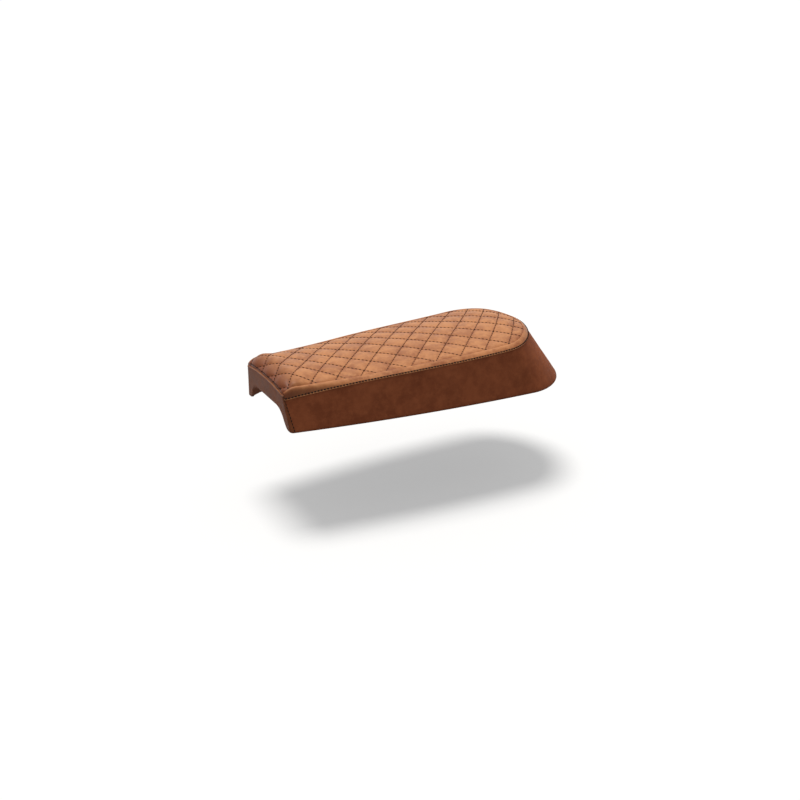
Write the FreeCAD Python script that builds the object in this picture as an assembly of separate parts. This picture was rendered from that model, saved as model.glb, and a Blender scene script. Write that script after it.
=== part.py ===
"""Scrambler motorbike seat: quilted leather cover over foam on a moulded pan.

Frame: +X points to the front of the bike, +Y to the rider's left, +Z up.
The origin is at the middle of the length and width, on the plane of the lower rim.
All sizes are in millimetres. A station s is the distance rearwards from the front foot.
"""
import FreeCAD
import Part
import os
from functools import lru_cache
from math import cos, pi, sin

Vector = FreeCAD.Vector

# Overall form
LENGTH = 590.0                 # from the front seam to the tail of the rim
FRONT_OVERHANG = 6.5           # how far the front seam stands ahead of the front feet
CORNER_RADIUS = 10.0           # front corners, seen from above

# Lower rim, seen from above
RIM_HALF_FRONT = 97.0
RIM_HALF_WIDEST = 135.0
RIM_TAIL_LENGTH = 117.0        # from the widest station to the tail
RIM_FULLNESS = 1.85            # 2 would be an ellipse

# Seam between top panel and side band
SEAM_HALF_FRONT = 83.0
SEAM_HALF_WIDEST = 116.8
SEAM_TAIL_LENGTH = 89.5
SEAM_TAIL_SETBACK = 71.0       # how far the seam's tail lies ahead of the rim's tail
SEAM_FULLNESS = 1.81
SEAM_HEIGHTS = (57.0, 73.4, 80.9, 95.3)   # at even steps from the front foot to the seam's tail
FRONT_SEAM_HEIGHT = 67.0       # on the middle line
FRONT_SEAM_DROP = 3.0          # lower at the front corners by this

# Top panel
EDGE_RISE = 3.0                # top panel above the seam at its border
CROWN = 7.6                    # middle of the top above its border, as if carried on to the front foot
CROWN_GAIN = 6.0               # more of it at the rim's tail
CROWN_POWER = 2.0              # curve of the crown from side to side
TAIL_POWER = 4.0               # and towards the tail
SWELL_LENGTH = 170.0           # the front is fuller over this length, most at the front foot
SWELL_EDGE = 6.0               # by this at the border
SWELL_CROWN = 13.5             # by this more in the middle
SWELL_POWER = 3.7              # and flatter across by this power
ROLL_LENGTH = 31.0             # roll from the top down to the front seam
ROLL_POWER = 1.35
FRONT_LIP = 1.0                # top panel above the front seam
QUILT_DIAGONAL = 50.8          # corner to corner of one diamond
QUILT_START = 24.6             # first stitch crossing on the middle line, behind the front foot
QUILT_DRIFT = 5.0              # the pattern is drawn together by this behind the first crossing
QUILT_DRIFT_LENGTH = 110.0
ROLL_SQUEEZE = 0.84            # length seen from above of the quilting sewn round the front roll
QUILT_PUFF = 4.5               # height of a diamond's middle above its stitches
QUILT_PLUMPNESS = 0.7          # below 1 the diamonds are fuller towards their stitches
BORDER_WIDTH = 11.0            # plain border between the quilting and the seam
BORDER_BLEND = 14.0            # width over which the puffs grow inwards from the border
FRONT_BLEND = 16.0             # the same at the front edge

# Cover and pan
LEATHER = 1.5
PAN_WALL = 3.0
PAN_FLOOR_HEIGHT = 16.0        # underside of the pan's floor
HEM_HEIGHT = 13.0
CORNER_SEAM_SETBACK = 7.5      # corner seam behind the front face

# Front arch and the tunnel behind it
ARCH_HEIGHT = 33.0
ARCH_HALF_FOOT = 78.5
ARCH_HALF_TOP = 61.0
ARCH_ROUND = 18.0
TUNNEL_LENGTH = 150.0

# Fixings
FRONT_STRIP_GAP = 55.0         # middle of the front strip behind the tunnel
REAR_STRIP_SETBACK = 138.5     # middle of the rear strip ahead of the rim's tail
STRIP_LENGTH = 172.0
STRIP_WIDTH = 32.0
STRIP_CORNER_RADIUS = 8.0
STRIP_THICKNESS = 3.0
NUT_SPACING = 120.0
NUT_ACROSS_FLATS = 13.0
NUT_HEIGHT = 6.5
THREAD_RADIUS = 3.4
BOLT_CLEARANCE_RADIUS = 4.5
BOLT_RUN_OUT = 12.0            # free depth in the foam above each nut
BOLT_RUN_OUT_RADIUS = 5.0
RIVET_SPACING = 60.0
RIVET_RADIUS = 2.0
RIVET_HEAD_RADIUS = 4.0
RIVET_HEAD_HEIGHT = 1.2

# Rubber buffers under the pan
FRONT_BUFFER_STATION = 122.0
MIDDLE_BUFFER_STATION = 325.0
REAR_BUFFER_SETBACK = 88.5     # rear buffers ahead of the rim's tail
FRONT_BUFFER_EDGE = 26.0       # middle of a buffer in from the rim's edge
MIDDLE_BUFFER_EDGE = 31.0
REAR_BUFFER_EDGE = 55.0
BUFFER_HEIGHT = 13.0
BUFFER_TOP_RADIUS = 13.0
BUFFER_FOOT_RADIUS = 11.0
BUFFER_NECK_RADIUS = 4.5
BUFFER_HEAD_RADIUS = 7.0
BUFFER_HEAD_HEIGHT = 3.5

# Staples through the hem
STAPLE_COUNT = 34
STAPLE_WIDTH = 10.0
STAPLE_WIRE = 1.0
STAPLE_BITE = 2.0              # depth of the legs in the pan's rim
STAPLE_HEIGHT = 7.5

# Sizes that follow from the ones above
BASE_LENGTH = LENGTH - FRONT_OVERHANG
MIDDLE_STATION = (BASE_LENGTH - FRONT_OVERHANG) / 2.0
RIM_WIDEST_STATION = BASE_LENGTH - RIM_TAIL_LENGTH
SEAM_TAIL_STATION = BASE_LENGTH - SEAM_TAIL_SETBACK
SEAM_WIDEST_STATION = SEAM_TAIL_STATION - SEAM_TAIL_LENGTH
PAN_FLOOR_TOP = PAN_FLOOR_HEIGHT + PAN_WALL
HEM_INSET = 2.0 * LEATHER + PAN_WALL
STRIP_STATIONS = {"front": TUNNEL_LENGTH + FRONT_STRIP_GAP, "rear": BASE_LENGTH - REAR_STRIP_SETBACK}

# Construction solids and outlines
FLOOR_DEPTH = 10.0             # construction solids start this far below the rim
HEADROOM = 10.0                # and end this far above the highest puff
CEILING = max(SEAM_HEIGHTS) + EDGE_RISE + CROWN + CROWN_GAIN + QUILT_PUFF + HEADROOM
REACH = 2.0 * (RIM_HALF_WIDEST + LENGTH)
LEAST_CORNER = 1.0
CORNER_POINTS = 2
SIDE_STEPS = 6
TAIL_STEPS = 7
TINY = 1e-6


def at(s, y, z):
    """Point in the part's frame from a station, a sideways distance and a height."""
    return Vector(MIDDLE_STATION - s, y, z)


def seam_height(s):
    """Height of the seam at a station, a cubic through the four stated heights."""
    step = SEAM_TAIL_STATION / (len(SEAM_HEIGHTS) - 1)
    total = 0.0
    for i, height in enumerate(SEAM_HEIGHTS):
        weight = 1.0
        for j in range(len(SEAM_HEIGHTS)):
            if j != i:
                weight *= (s / step - j) / (i - j)
        total += height * weight
    return total


def front_lean(z):
    """Station of the front face at a height: it leans forward up to the front seam."""
    return -FRONT_OVERHANG * z / FRONT_SEAM_HEIGHT


def flank(s, front, widest, widest_station):
    """Half width of a flank that swells from the front foot to its widest station."""
    rest = 1.0 - s / widest_station
    return front + (widest - front) * (1.0 - rest * rest)


def rim_half(s):
    """Half width of the lower rim at a station."""
    if s < RIM_WIDEST_STATION:
        return flank(s, RIM_HALF_FRONT, RIM_HALF_WIDEST, RIM_WIDEST_STATION)
    along = (s - RIM_WIDEST_STATION) / RIM_TAIL_LENGTH
    return RIM_HALF_WIDEST * (1.0 - along ** RIM_FULLNESS) ** (1.0 / RIM_FULLNESS)


def outline(front_station, half_front, half_widest, widest_station, tail_length, fullness, corner):
    """One side of a plan outline, front to tail: two corner points and then the curve."""
    edge = flank(front_station, half_front, half_widest, widest_station)
    past = front_station + corner
    beside = flank(past, half_front, half_widest, widest_station)
    slack = corner * (1.0 - sin(pi / 4.0))
    points = [(front_station, edge - corner), (front_station + slack, (edge + beside) / 2.0 - slack)]
    for i in range(SIDE_STEPS):
        s = past + (widest_station - past) * i / SIDE_STEPS
        points.append((s, flank(s, half_front, half_widest, widest_station)))
    for i in range(TAIL_STEPS + 1):
        angle = pi / 2.0 * i / TAIL_STEPS
        along = max(sin(angle), 0.0) ** (2.0 / fullness)
        across = max(cos(angle), 0.0) ** (2.0 / fullness)
        if i == TAIL_STEPS:
            across = 0.0
        points.append((widest_station + tail_length * along, half_widest * across))
    return points


def rulings(inset):
    """Pairs of rim point and seam point down one side, moved inwards by an inset."""
    corner = max(CORNER_RADIUS - inset, LEAST_CORNER)
    rim = outline(inset, RIM_HALF_FRONT - inset, RIM_HALF_WIDEST - inset, RIM_WIDEST_STATION,
                  RIM_TAIL_LENGTH - inset, RIM_FULLNESS, corner)
    lean = front_lean(SEAM_HEIGHTS[0])
    seam = outline(lean + inset, SEAM_HALF_FRONT - inset, SEAM_HALF_WIDEST - inset,
                   SEAM_WIDEST_STATION, SEAM_TAIL_LENGTH - inset, SEAM_FULLNESS, corner)
    pairs = []
    for (rim_s, rim_y), (seam_s, seam_y) in zip(rim, seam):
        height = seam_height(max(seam_s, 0.0))
        pairs.append(((rim_s, rim_y), (seam_s, seam_y), height))
    return pairs


def slice_points(inset, z):
    """Points of one side of the walls' outline at a height."""
    points = []
    for (rim_s, rim_y), (seam_s, seam_y), height in rulings(inset):
        share = z / height
        points.append((rim_s + (seam_s - rim_s) * share, rim_y + (seam_y - rim_y) * share))
    return points


def wall_curve(inset, z):
    """Curve from the front left corner round the tail to the front right corner, at a height."""
    side = slice_points(inset, z)[CORNER_POINTS:]
    curve = Part.BSplineCurve()
    curve.interpolate([at(s, y, z) for s, y in side] + [at(s, -y, z) for s, y in side[-2::-1]])
    return curve


def slice_wire(inset, z):
    """Closed outline of the walls at a height: front, corners, two flanks and two tail quarters."""
    side = slice_points(inset, z)
    left = [at(s, y, z) for s, y in side]
    right = [at(s, -y, z) for s, y in side]
    curve = wall_curve(inset, z)
    widest = CORNER_POINTS + SIDE_STEPS
    stops = [left[2], left[widest], left[-1], right[widest], right[2]]
    marks = [curve.parameter(point) for point in stops]
    edges = [
        Part.LineSegment(right[0], left[0]).toShape(),
        Part.Arc(left[0], left[1], left[2]).toShape(),
    ]
    edges += [curve.toShape(low, high) for low, high in zip(marks, marks[1:])]
    edges.append(Part.Arc(right[2], right[1], right[0]).toShape())
    return Part.Wire(edges)


@lru_cache(maxsize=None)
def walls(inset):
    """Solid inside the leaning walls, from below the rim to above the top."""
    return Part.makeLoft([slice_wire(inset, -FLOOR_DEPTH), slice_wire(inset, CEILING)], True, True)


def block(s_low, s_high, y_low, y_high, z_low, z_high):
    """Box between two stations, two sideways distances and two heights."""
    size = (s_high - s_low, y_high - y_low, z_high - z_low)
    return Part.makeBox(*size, at(s_high, y_low, z_low))


def between(shape, low, high):
    """Part of a shape between two heights."""
    return shape.common(block(-REACH, REACH, -REACH, REACH, low, high))


def seam_half(s):
    """Half width of the seam at a station, held at its widest behind that."""
    return flank(min(s, SEAM_WIDEST_STATION), SEAM_HALF_FRONT, SEAM_HALF_WIDEST, SEAM_WIDEST_STATION)


def swell(s):
    """Share of the front's fullness left at a station."""
    return max(1.0 - s / SWELL_LENGTH, 0.0) ** 2


def crowned_top(s, y):
    """Height of the top behind the front roll, without its puffs."""
    full = swell(s)
    across = min(abs(y) / seam_half(s), 1.0) ** (CROWN_POWER + SWELL_POWER * full)
    along = (max(s - SEAM_WIDEST_STATION, 0.0) / SEAM_TAIL_LENGTH) ** TAIL_POWER
    middle = CROWN + CROWN_GAIN * s / BASE_LENGTH + SWELL_CROWN * full
    return seam_height(s) + EDGE_RISE + SWELL_EDGE * full + middle * (1.0 - across) * (1.0 - along)


def cushion_top(s, y):
    """Height of the top without its puffs, with the front roll."""
    behind = max(s, ROLL_LENGTH - FRONT_OVERHANG)
    foot = FRONT_SEAM_HEIGHT - FRONT_SEAM_DROP * (y / SEAM_HALF_FRONT) ** 2 + FRONT_LIP
    left = 1.0 - min(max(s + FRONT_OVERHANG, 0.0) / ROLL_LENGTH, 1.0)
    return foot + (crowned_top(behind, y) - foot) * (1.0 - left ** ROLL_POWER)


def border_distance(s, y):
    """Distance from the seam, seen from above, negative outside it."""
    across = seam_half(s)
    along = max(s - SEAM_WIDEST_STATION, 0.0) / SEAM_TAIL_LENGTH
    ring = (along ** SEAM_FULLNESS + (abs(y) / across) ** SEAM_FULLNESS) ** (1.0 / SEAM_FULLNESS)
    depth = across + (SEAM_TAIL_LENGTH - across) * min(along, 1.0)
    return (1.0 - ring) * depth


def ease(value):
    """Smooth step from 0 to 1."""
    value = min(max(value, 0.0), 1.0)
    return value * value * (3.0 - 2.0 * value)


def quilt_station(along):
    """Station of a place in the quilting, given as a sewn length behind the first crossing."""
    if along < 0.0:
        return QUILT_START + along * ROLL_SQUEEZE
    return QUILT_START + along - QUILT_DRIFT * ease(along / QUILT_DRIFT_LENGTH)


def puff(along, y):
    """Height of the quilting over its stitches."""
    s = quilt_station(along)
    first = abs(sin(pi * (along + y) / QUILT_DIAGONAL))
    second = abs(sin(pi * (along - y) / QUILT_DIAGONAL))
    inwards = ease((border_distance(s, y) - BORDER_WIDTH) / BORDER_BLEND)
    backwards = ease((s + FRONT_OVERHANG) / FRONT_BLEND)
    return QUILT_PUFF * (first * second) ** QUILT_PLUMPNESS * inwards * backwards


def quilt_cells():
    """Half diamonds ahead of, behind and beside the first stitch crossing, out past the seam."""
    step = QUILT_DIAGONAL / 2.0
    ahead = int((QUILT_START + FRONT_OVERHANG) / ROLL_SQUEEZE / step) + 1
    behind = int((SEAM_TAIL_STATION + QUILT_DRIFT - QUILT_START) / step) + 1
    beside = int(SEAM_HALF_WIDEST / step) + 1
    return ahead, behind, beside


def foam_line():
    """Stations and heights of the foam's top, which is straight across and meets the seam all round."""
    ahead, behind, _ = quilt_cells()
    stations = [quilt_station(i * QUILT_DIAGONAL / 2.0) for i in range(-ahead, behind + 1)]
    return [(s, seam_height(min(s, SEAM_TAIL_STATION))) for s in stations]


def flat_face(*points):
    """Flat face through a ring of points."""
    return Part.Face(Part.makePolygon(list(points) + [points[0]]))


def quilt_rows():
    """Rows of points on the quilted surface, four to a diamond's diagonal."""
    step = QUILT_DIAGONAL / 4.0
    ahead, behind, beside = [2 * count for count in quilt_cells()]
    rows = []
    for i in range(-ahead, behind + 1):
        s = quilt_station(i * step)
        row = []
        for j in range(-beside, beside + 1):
            height = cushion_top(min(s, SEAM_TAIL_STATION), j * step)
            row.append(at(s, j * step, height + puff(i * step, j * step)))
        rows.append(row)
    return rows


def facets(rows):
    """Triangles between rows of points, folded along the stitches."""
    faces = []
    for i in range(len(rows) - 1):
        for j in range(len(rows[0]) - 1):
            a, b = rows[i][j], rows[i][j + 1]
            c, d = rows[i + 1][j + 1], rows[i + 1][j]
            if (i + j) % 2 == 0:
                faces += [flat_face(a, b, c), flat_face(a, c, d)]
            else:
                faces += [flat_face(a, b, d), flat_face(b, c, d)]
    return faces


def closed_solid(faces):
    """Solid inside a closed set of flat faces."""
    shell = Part.makeShell(faces)
    shell.sewShape()
    return Part.makeSolid(shell)


def solid_under_foam_top():
    """Solid below the foam's top and the seam, out past the rim on every side."""
    line = foam_line()
    line = [(-REACH, line[0][1])] + line + [(REACH, line[-1][1])]
    ring = line + [(REACH, -CEILING), (-REACH, -CEILING)]
    return flat_face(*[at(s, -REACH, z) for s, z in ring]).extrude(Vector(0.0, 2.0 * REACH, 0.0))


def quilt_slab():
    """Solid between the foam's top and the quilting, out past the seam on every side."""
    rows = quilt_rows()
    right, left = rows[0][0].y, rows[0][-1].y
    line = foam_line()
    low_right = [at(s, right, z) for s, z in line]
    low_left = [at(s, left, z) for s, z in line]
    faces = facets(rows)
    for i in range(len(line) - 1):
        faces.append(flat_face(low_right[i], low_left[i], low_left[i + 1], low_right[i + 1]))
    faces.append(flat_face(*low_right, *[row[0] for row in rows[::-1]]))
    faces.append(flat_face(*low_left, *[row[-1] for row in rows[::-1]]))
    faces.append(flat_face(low_right[0], low_left[0], *rows[0][::-1]))
    faces.append(flat_face(low_right[-1], low_left[-1], *rows[-1][::-1]))
    return closed_solid(faces)


def arch(grow, s_low, s_high):
    """Prism of the front arch, made larger all round by a thickness."""
    slope = (ARCH_HALF_FOOT - ARCH_HALF_TOP) / ARCH_HEIGHT
    drop = ARCH_HEIGHT
    top = ARCH_HEIGHT + grow
    half_top = ARCH_HALF_TOP + grow - slope * grow
    half_foot = ARCH_HALF_FOOT + grow + slope * drop
    corners = [(-half_foot, -drop), (-half_top, top), (half_top, top), (half_foot, -drop)]
    points = [at(s_high, y, z) for y, z in corners]
    prism = Part.Face(Part.makePolygon(points + points[:1])).extrude(Vector(s_high - s_low, 0.0, 0.0))
    shoulders = [edge for edge in prism.Edges
                 if all(abs(v.Z - top) < TINY for v in edge.Vertexes)
                 and abs(edge.Vertexes[0].Y - edge.Vertexes[1].Y) < TINY]
    return prism.makeFillet(ARCH_ROUND + grow, shoulders)


def front_slab():
    """Solid ahead of the corner seam and below the front seam."""
    half = SEAM_HALF_FRONT
    side = FRONT_SEAM_HEIGHT - FRONT_SEAM_DROP
    bow = Part.Arc(at(-REACH, -half, side), at(-REACH, 0.0, FRONT_SEAM_HEIGHT), at(-REACH, half, side))
    ring = [at(-REACH, half, side), at(-REACH, REACH, side), at(-REACH, REACH, -CEILING),
            at(-REACH, -REACH, -CEILING), at(-REACH, -REACH, side), at(-REACH, -half, side)]
    below = Part.Face(Part.Wire([bow.toShape()] + Part.makePolygon(ring).Edges))
    below = below.extrude(Vector(-2.0 * REACH, 0.0, 0.0))
    foot = CORNER_SEAM_SETBACK - front_lean(CEILING)
    head = CORNER_SEAM_SETBACK + front_lean(CEILING)
    corners = [(foot, -CEILING), (head, CEILING), (-REACH, CEILING), (-REACH, -CEILING)]
    ahead = flat_face(*[at(s, -REACH, z) for s, z in corners]).extrude(Vector(0.0, 2.0 * REACH, 0.0))
    return below.common(ahead)


def leather_walls():
    """Leather round the front, the flanks and the tail, with the hem turned under."""
    skin = between(walls(0.0), 0.0, CEILING - 1.0).cut(between(walls(LEATHER), LEATHER, CEILING))
    mouth = between(walls(HEM_INSET), -LEATHER, 2.0 * LEATHER)
    hem = between(walls(LEATHER + PAN_WALL), LEATHER, HEM_HEIGHT).cut(walls(HEM_INSET))
    lining = arch(LEATHER, -REACH, HEM_INSET).common(between(walls(0.0), 0.0, FRONT_SEAM_HEIGHT))
    lining = lining.cut(walls(HEM_INSET))
    return skin.cut(mouth).fuse([hem, lining]).cut(arch(0.0, -REACH, HEM_INSET + CORNER_SEAM_SETBACK))


def top_panel(slab):
    """Quilted top over the foam, with a plain border down to the seam."""
    room = walls(0.0).common(block(-FRONT_OVERHANG, REACH, -REACH, REACH, 0.0, CEILING))
    return room.cut(slab.cut(walls(LEATHER))).common(quilt_slab())


def base_pan():
    """Moulded pan: rim, floor and front tunnel, before its holes."""
    body = between(walls(LEATHER), LEATHER, PAN_FLOOR_TOP)
    tunnel = arch(LEATHER + PAN_WALL, -REACH, TUNNEL_LENGTH + PAN_WALL)
    tunnel = tunnel.common(between(walls(LEATHER), LEATHER, FRONT_SEAM_HEIGHT))
    recess = between(walls(LEATHER + PAN_WALL), 0.0, PAN_FLOOR_HEIGHT)
    return body.fuse(tunnel).cut(recess).cut(arch(LEATHER, -REACH, TUNNEL_LENGTH)).removeSplitter()


def pillar(s, y, radius, z_low, z_high):
    """Upright cylinder between two heights."""
    return Part.makeCylinder(radius, z_high - z_low, at(s, y, z_low))


def nut_places(s):
    """Station and sideways distance of the nuts on one strip."""
    return [(s, side * NUT_SPACING / 2.0) for side in (-1.0, 1.0)]


def rivet_places(s):
    """Station and sideways distance of the rivets on one strip."""
    return [(s, side * RIVET_SPACING / 2.0) for side in (-1.0, 1.0)]


def mount_strip(s):
    """Steel strip across the pan's floor, with holes for bolts and rivets."""
    strip = block(s - STRIP_WIDTH / 2.0, s + STRIP_WIDTH / 2.0, -STRIP_LENGTH / 2.0, STRIP_LENGTH / 2.0,
                  PAN_FLOOR_TOP, PAN_FLOOR_TOP + STRIP_THICKNESS)
    upright = [edge for edge in strip.Edges if abs(edge.Vertexes[0].Z - edge.Vertexes[1].Z) > TINY]
    strip = strip.makeFillet(STRIP_CORNER_RADIUS, upright)
    for place in nut_places(s):
        strip = strip.cut(pillar(*place, BOLT_CLEARANCE_RADIUS, 0.0, CEILING))
    for place in rivet_places(s):
        strip = strip.cut(pillar(*place, RIVET_RADIUS, 0.0, CEILING))
    return strip


def weld_nut(s, y):
    """Hexagon nut standing on a strip."""
    low = PAN_FLOOR_TOP + STRIP_THICKNESS
    reach = NUT_ACROSS_FLATS / 2.0 / cos(pi / 6.0)
    corners = []
    for i in range(7):
        angle = pi / 3.0 * i
        corners.append(at(s, y, low) + Vector(reach * cos(angle), reach * sin(angle), 0.0))
    nut = Part.Face(Part.makePolygon(corners)).extrude(Vector(0.0, 0.0, NUT_HEIGHT))
    return nut.cut(pillar(s, y, THREAD_RADIUS, 0.0, CEILING))


def rivet(s, y):
    """Rivet through pan and strip, with a head on both faces."""
    low = PAN_FLOOR_HEIGHT
    high = PAN_FLOOR_TOP + STRIP_THICKNESS
    shank = pillar(s, y, RIVET_RADIUS, low, high)
    lower_head = pillar(s, y, RIVET_HEAD_RADIUS, low - RIVET_HEAD_HEIGHT, low)
    upper_head = pillar(s, y, RIVET_HEAD_RADIUS, high, high + RIVET_HEAD_HEIGHT)
    return shank.fuse(lower_head).fuse(upper_head).removeSplitter()


def buffer_places():
    """Station and distance from the middle line of each pair of buffers."""
    rear = BASE_LENGTH - REAR_BUFFER_SETBACK
    return {
        "front": (FRONT_BUFFER_STATION, rim_half(FRONT_BUFFER_STATION) - FRONT_BUFFER_EDGE),
        "middle": (MIDDLE_BUFFER_STATION, rim_half(MIDDLE_BUFFER_STATION) - MIDDLE_BUFFER_EDGE),
        "rear": (rear, rim_half(rear) - REAR_BUFFER_EDGE),
    }


def buffer(s, y):
    """Rubber buffer: tapered foot below the floor, neck through it and a head above."""
    low = PAN_FLOOR_HEIGHT - BUFFER_HEIGHT
    foot = Part.makeCone(BUFFER_FOOT_RADIUS, BUFFER_TOP_RADIUS, BUFFER_HEIGHT, at(s, y, low))
    neck = pillar(s, y, BUFFER_NECK_RADIUS, PAN_FLOOR_HEIGHT, PAN_FLOOR_TOP)
    head = pillar(s, y, BUFFER_HEAD_RADIUS, PAN_FLOOR_TOP, PAN_FLOOR_TOP + BUFFER_HEAD_HEIGHT)
    return foot.fuse(neck).fuse(head).removeSplitter()


def staple_line():
    """Places of the staples along the hem: a point and the directions along, out and up the wall."""
    low = wall_curve(HEM_INSET, STAPLE_HEIGHT)
    high = wall_curve(HEM_INSET, STAPLE_HEIGHT + STAPLE_WIDTH)
    edge = low.toShape()
    places = []
    for i in range(STAPLE_COUNT):
        parameter = edge.getParameterByLength(edge.Length * (i + 0.5) / STAPLE_COUNT)
        along = Vector(*low.tangent(parameter)[0])
        up = high.value(high.parameter(low.value(parameter))) - low.value(parameter)
        out = along.cross(up).normalize()
        if out.dot(low.value(parameter)) < 0.0:
            out = out.negative()
        places.append((low.value(parameter), along, out, out.cross(along)))
    return places


def staple(point, along, out, up):
    """Wire staple: a crown on the hem and two legs through it into the rim."""
    def bar(width, depth, shift):
        return Part.makeBox(width, depth, STAPLE_WIRE, Vector(shift, 0.0, -STAPLE_WIRE / 2.0))

    half = STAPLE_WIDTH / 2.0
    leg = LEATHER + STAPLE_BITE + STAPLE_WIRE
    shape = bar(STAPLE_WIDTH, STAPLE_WIRE, -half)
    shape = shape.fuse(bar(STAPLE_WIRE, leg, -half)).fuse(bar(STAPLE_WIRE, leg, half - STAPLE_WIRE))
    shape = shape.removeSplitter()
    origin = point - out * STAPLE_WIRE
    matrix = FreeCAD.Matrix(along.x, out.x, up.x, origin.x, along.y, out.y, up.y, origin.y,
                            along.z, out.z, up.z, origin.z, 0.0, 0.0, 0.0, 1.0)
    return shape.transformGeometry(matrix)


def drilled(pan):
    """Pan with its holes for bolts, rivets and buffers."""
    holes = []
    for s in STRIP_STATIONS.values():
        holes += [pillar(*place, BOLT_CLEARANCE_RADIUS, 0.0, CEILING) for place in nut_places(s)]
        holes += [pillar(*place, RIVET_RADIUS, 0.0, CEILING) for place in rivet_places(s)]
    for s, y in buffer_places().values():
        holes += [pillar(s, side * y, BUFFER_NECK_RADIUS, 0.0, CEILING) for side in (-1.0, 1.0)]
    return pan.cut(holes)


def main():
    """Builds every piece and writes one file for each."""
    pieces = {}
    slab = front_slab()
    under_seam = solid_under_foam_top()
    leather = leather_walls()
    pieces["front_panel"] = leather.common(slab)
    pieces["side_band"] = leather.cut(slab).common(under_seam)
    pieces["top_panel"] = top_panel(slab)

    foam = between(walls(LEATHER), PAN_FLOOR_TOP, CEILING).common(under_seam)
    foam = foam.cut(arch(LEATHER + PAN_WALL, -REACH, TUNNEL_LENGTH + PAN_WALL))
    for name, s in STRIP_STATIONS.items():
        pieces["mount_strip_" + name] = mount_strip(s)
    nuts = [weld_nut(*place) for s in STRIP_STATIONS.values() for place in nut_places(s)]
    rivets = [rivet(*place) for s in STRIP_STATIONS.values() for place in rivet_places(s)]
    for name, (s, y) in buffer_places().items():
        for side_name, side in (("left", 1.0), ("right", -1.0)):
            pieces["buffer_" + name + "_" + side_name] = buffer(s, side * y)
    hardware = [piece for name, piece in pieces.items() if name.startswith(("mount_strip", "buffer"))]
    nut_top = PAN_FLOOR_TOP + STRIP_THICKNESS + NUT_HEIGHT
    run_outs = [pillar(*place, BOLT_RUN_OUT_RADIUS, PAN_FLOOR_TOP, nut_top + BOLT_RUN_OUT)
                for s in STRIP_STATIONS.values() for place in nut_places(s)]
    foam = foam.cut(hardware + nuts + rivets + run_outs)
    pieces["foam_core"] = foam
    pieces["weld_nuts"] = Part.makeCompound(nuts)
    pieces["strip_rivets"] = Part.makeCompound(rivets)

    staples = Part.makeCompound([staple(*place) for place in staple_line()])
    pieces["hem_staples"] = staples
    pieces["side_band"] = pieces["side_band"].cut(staples)
    pieces["base_pan"] = drilled(base_pan()).cut(staples)

    os.makedirs("parts", exist_ok=True)
    for name, piece in pieces.items():
        solids = piece.Solids
        shape = solids[0] if len(solids) == 1 else Part.makeCompound(solids)
        shape.exportStep("parts/" + name + ".step")
        box = shape.optimalBoundingBox()
        corners = (box.XMin, box.XMax, box.YMin, box.YMax, box.ZMin, box.ZMax)
        print(name, len(solids), "solids", round(shape.Volume / 1000.0, 1), "cm3",
              "valid" if shape.isValid() else "not valid", [round(value, 1) for value in corners])


main()
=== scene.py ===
"""Looks of a scrambler seat: quilted leather cover, stitching, pan and fixings, dressed round its solids.

Sizes are in millimetres, and meshes are written in metres, in the frame of the solids: +X to the front of
the bike, +Y to the rider's left, +Z up. A station is the distance rearwards from the front foot.
"""

import logging
import math
from dataclasses import dataclass
from enum import Enum
from functools import cache
from typing import Callable, Iterable, Sequence

import bpy
import numpy as np
from mathutils import Matrix, Vector, noise
from mathutils.bvhtree import BVHTree


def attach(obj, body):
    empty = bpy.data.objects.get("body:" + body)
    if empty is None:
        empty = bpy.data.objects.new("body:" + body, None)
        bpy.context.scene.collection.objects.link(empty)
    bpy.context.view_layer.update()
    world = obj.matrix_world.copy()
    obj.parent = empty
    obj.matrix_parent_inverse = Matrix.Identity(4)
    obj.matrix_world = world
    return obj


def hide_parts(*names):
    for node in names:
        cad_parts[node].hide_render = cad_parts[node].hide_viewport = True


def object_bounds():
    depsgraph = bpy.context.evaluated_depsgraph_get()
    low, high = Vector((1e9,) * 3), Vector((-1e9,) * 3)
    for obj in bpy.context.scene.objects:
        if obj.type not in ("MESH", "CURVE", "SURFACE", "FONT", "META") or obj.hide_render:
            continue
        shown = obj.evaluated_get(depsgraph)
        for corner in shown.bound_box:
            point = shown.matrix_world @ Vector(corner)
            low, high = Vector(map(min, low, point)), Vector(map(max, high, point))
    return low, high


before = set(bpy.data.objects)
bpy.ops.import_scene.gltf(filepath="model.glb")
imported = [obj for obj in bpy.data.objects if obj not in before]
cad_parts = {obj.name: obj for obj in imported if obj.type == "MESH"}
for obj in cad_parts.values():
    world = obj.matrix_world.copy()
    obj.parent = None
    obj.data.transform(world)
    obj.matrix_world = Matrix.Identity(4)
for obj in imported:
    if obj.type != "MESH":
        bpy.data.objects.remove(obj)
CAD_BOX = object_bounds()

MM = 0.001
UP = np.array([0.0, 0.0, 1.0])
MERGE_DISTANCE = 0.01
SMOOTH_ANGLE = 40.0
TUBE_SIDES = 10
SEED_STEPS = (1.0, 0.7, 1.3)
NOISE_FALL = 1.0
NOISE_STEP = 2.0
Shape = Callable[[np.ndarray, np.ndarray], np.ndarray]
Pairs = Iterable[tuple[np.ndarray, np.ndarray]]
Colour = tuple[float, float, float, float]
log = logging.getLogger("seat")


def ease(value: np.ndarray) -> np.ndarray:
    """Smooth step from 0 to 1."""
    value = np.clip(value, 0.0, 1.0)
    return value * value * (3.0 - 2.0 * value)


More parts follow.
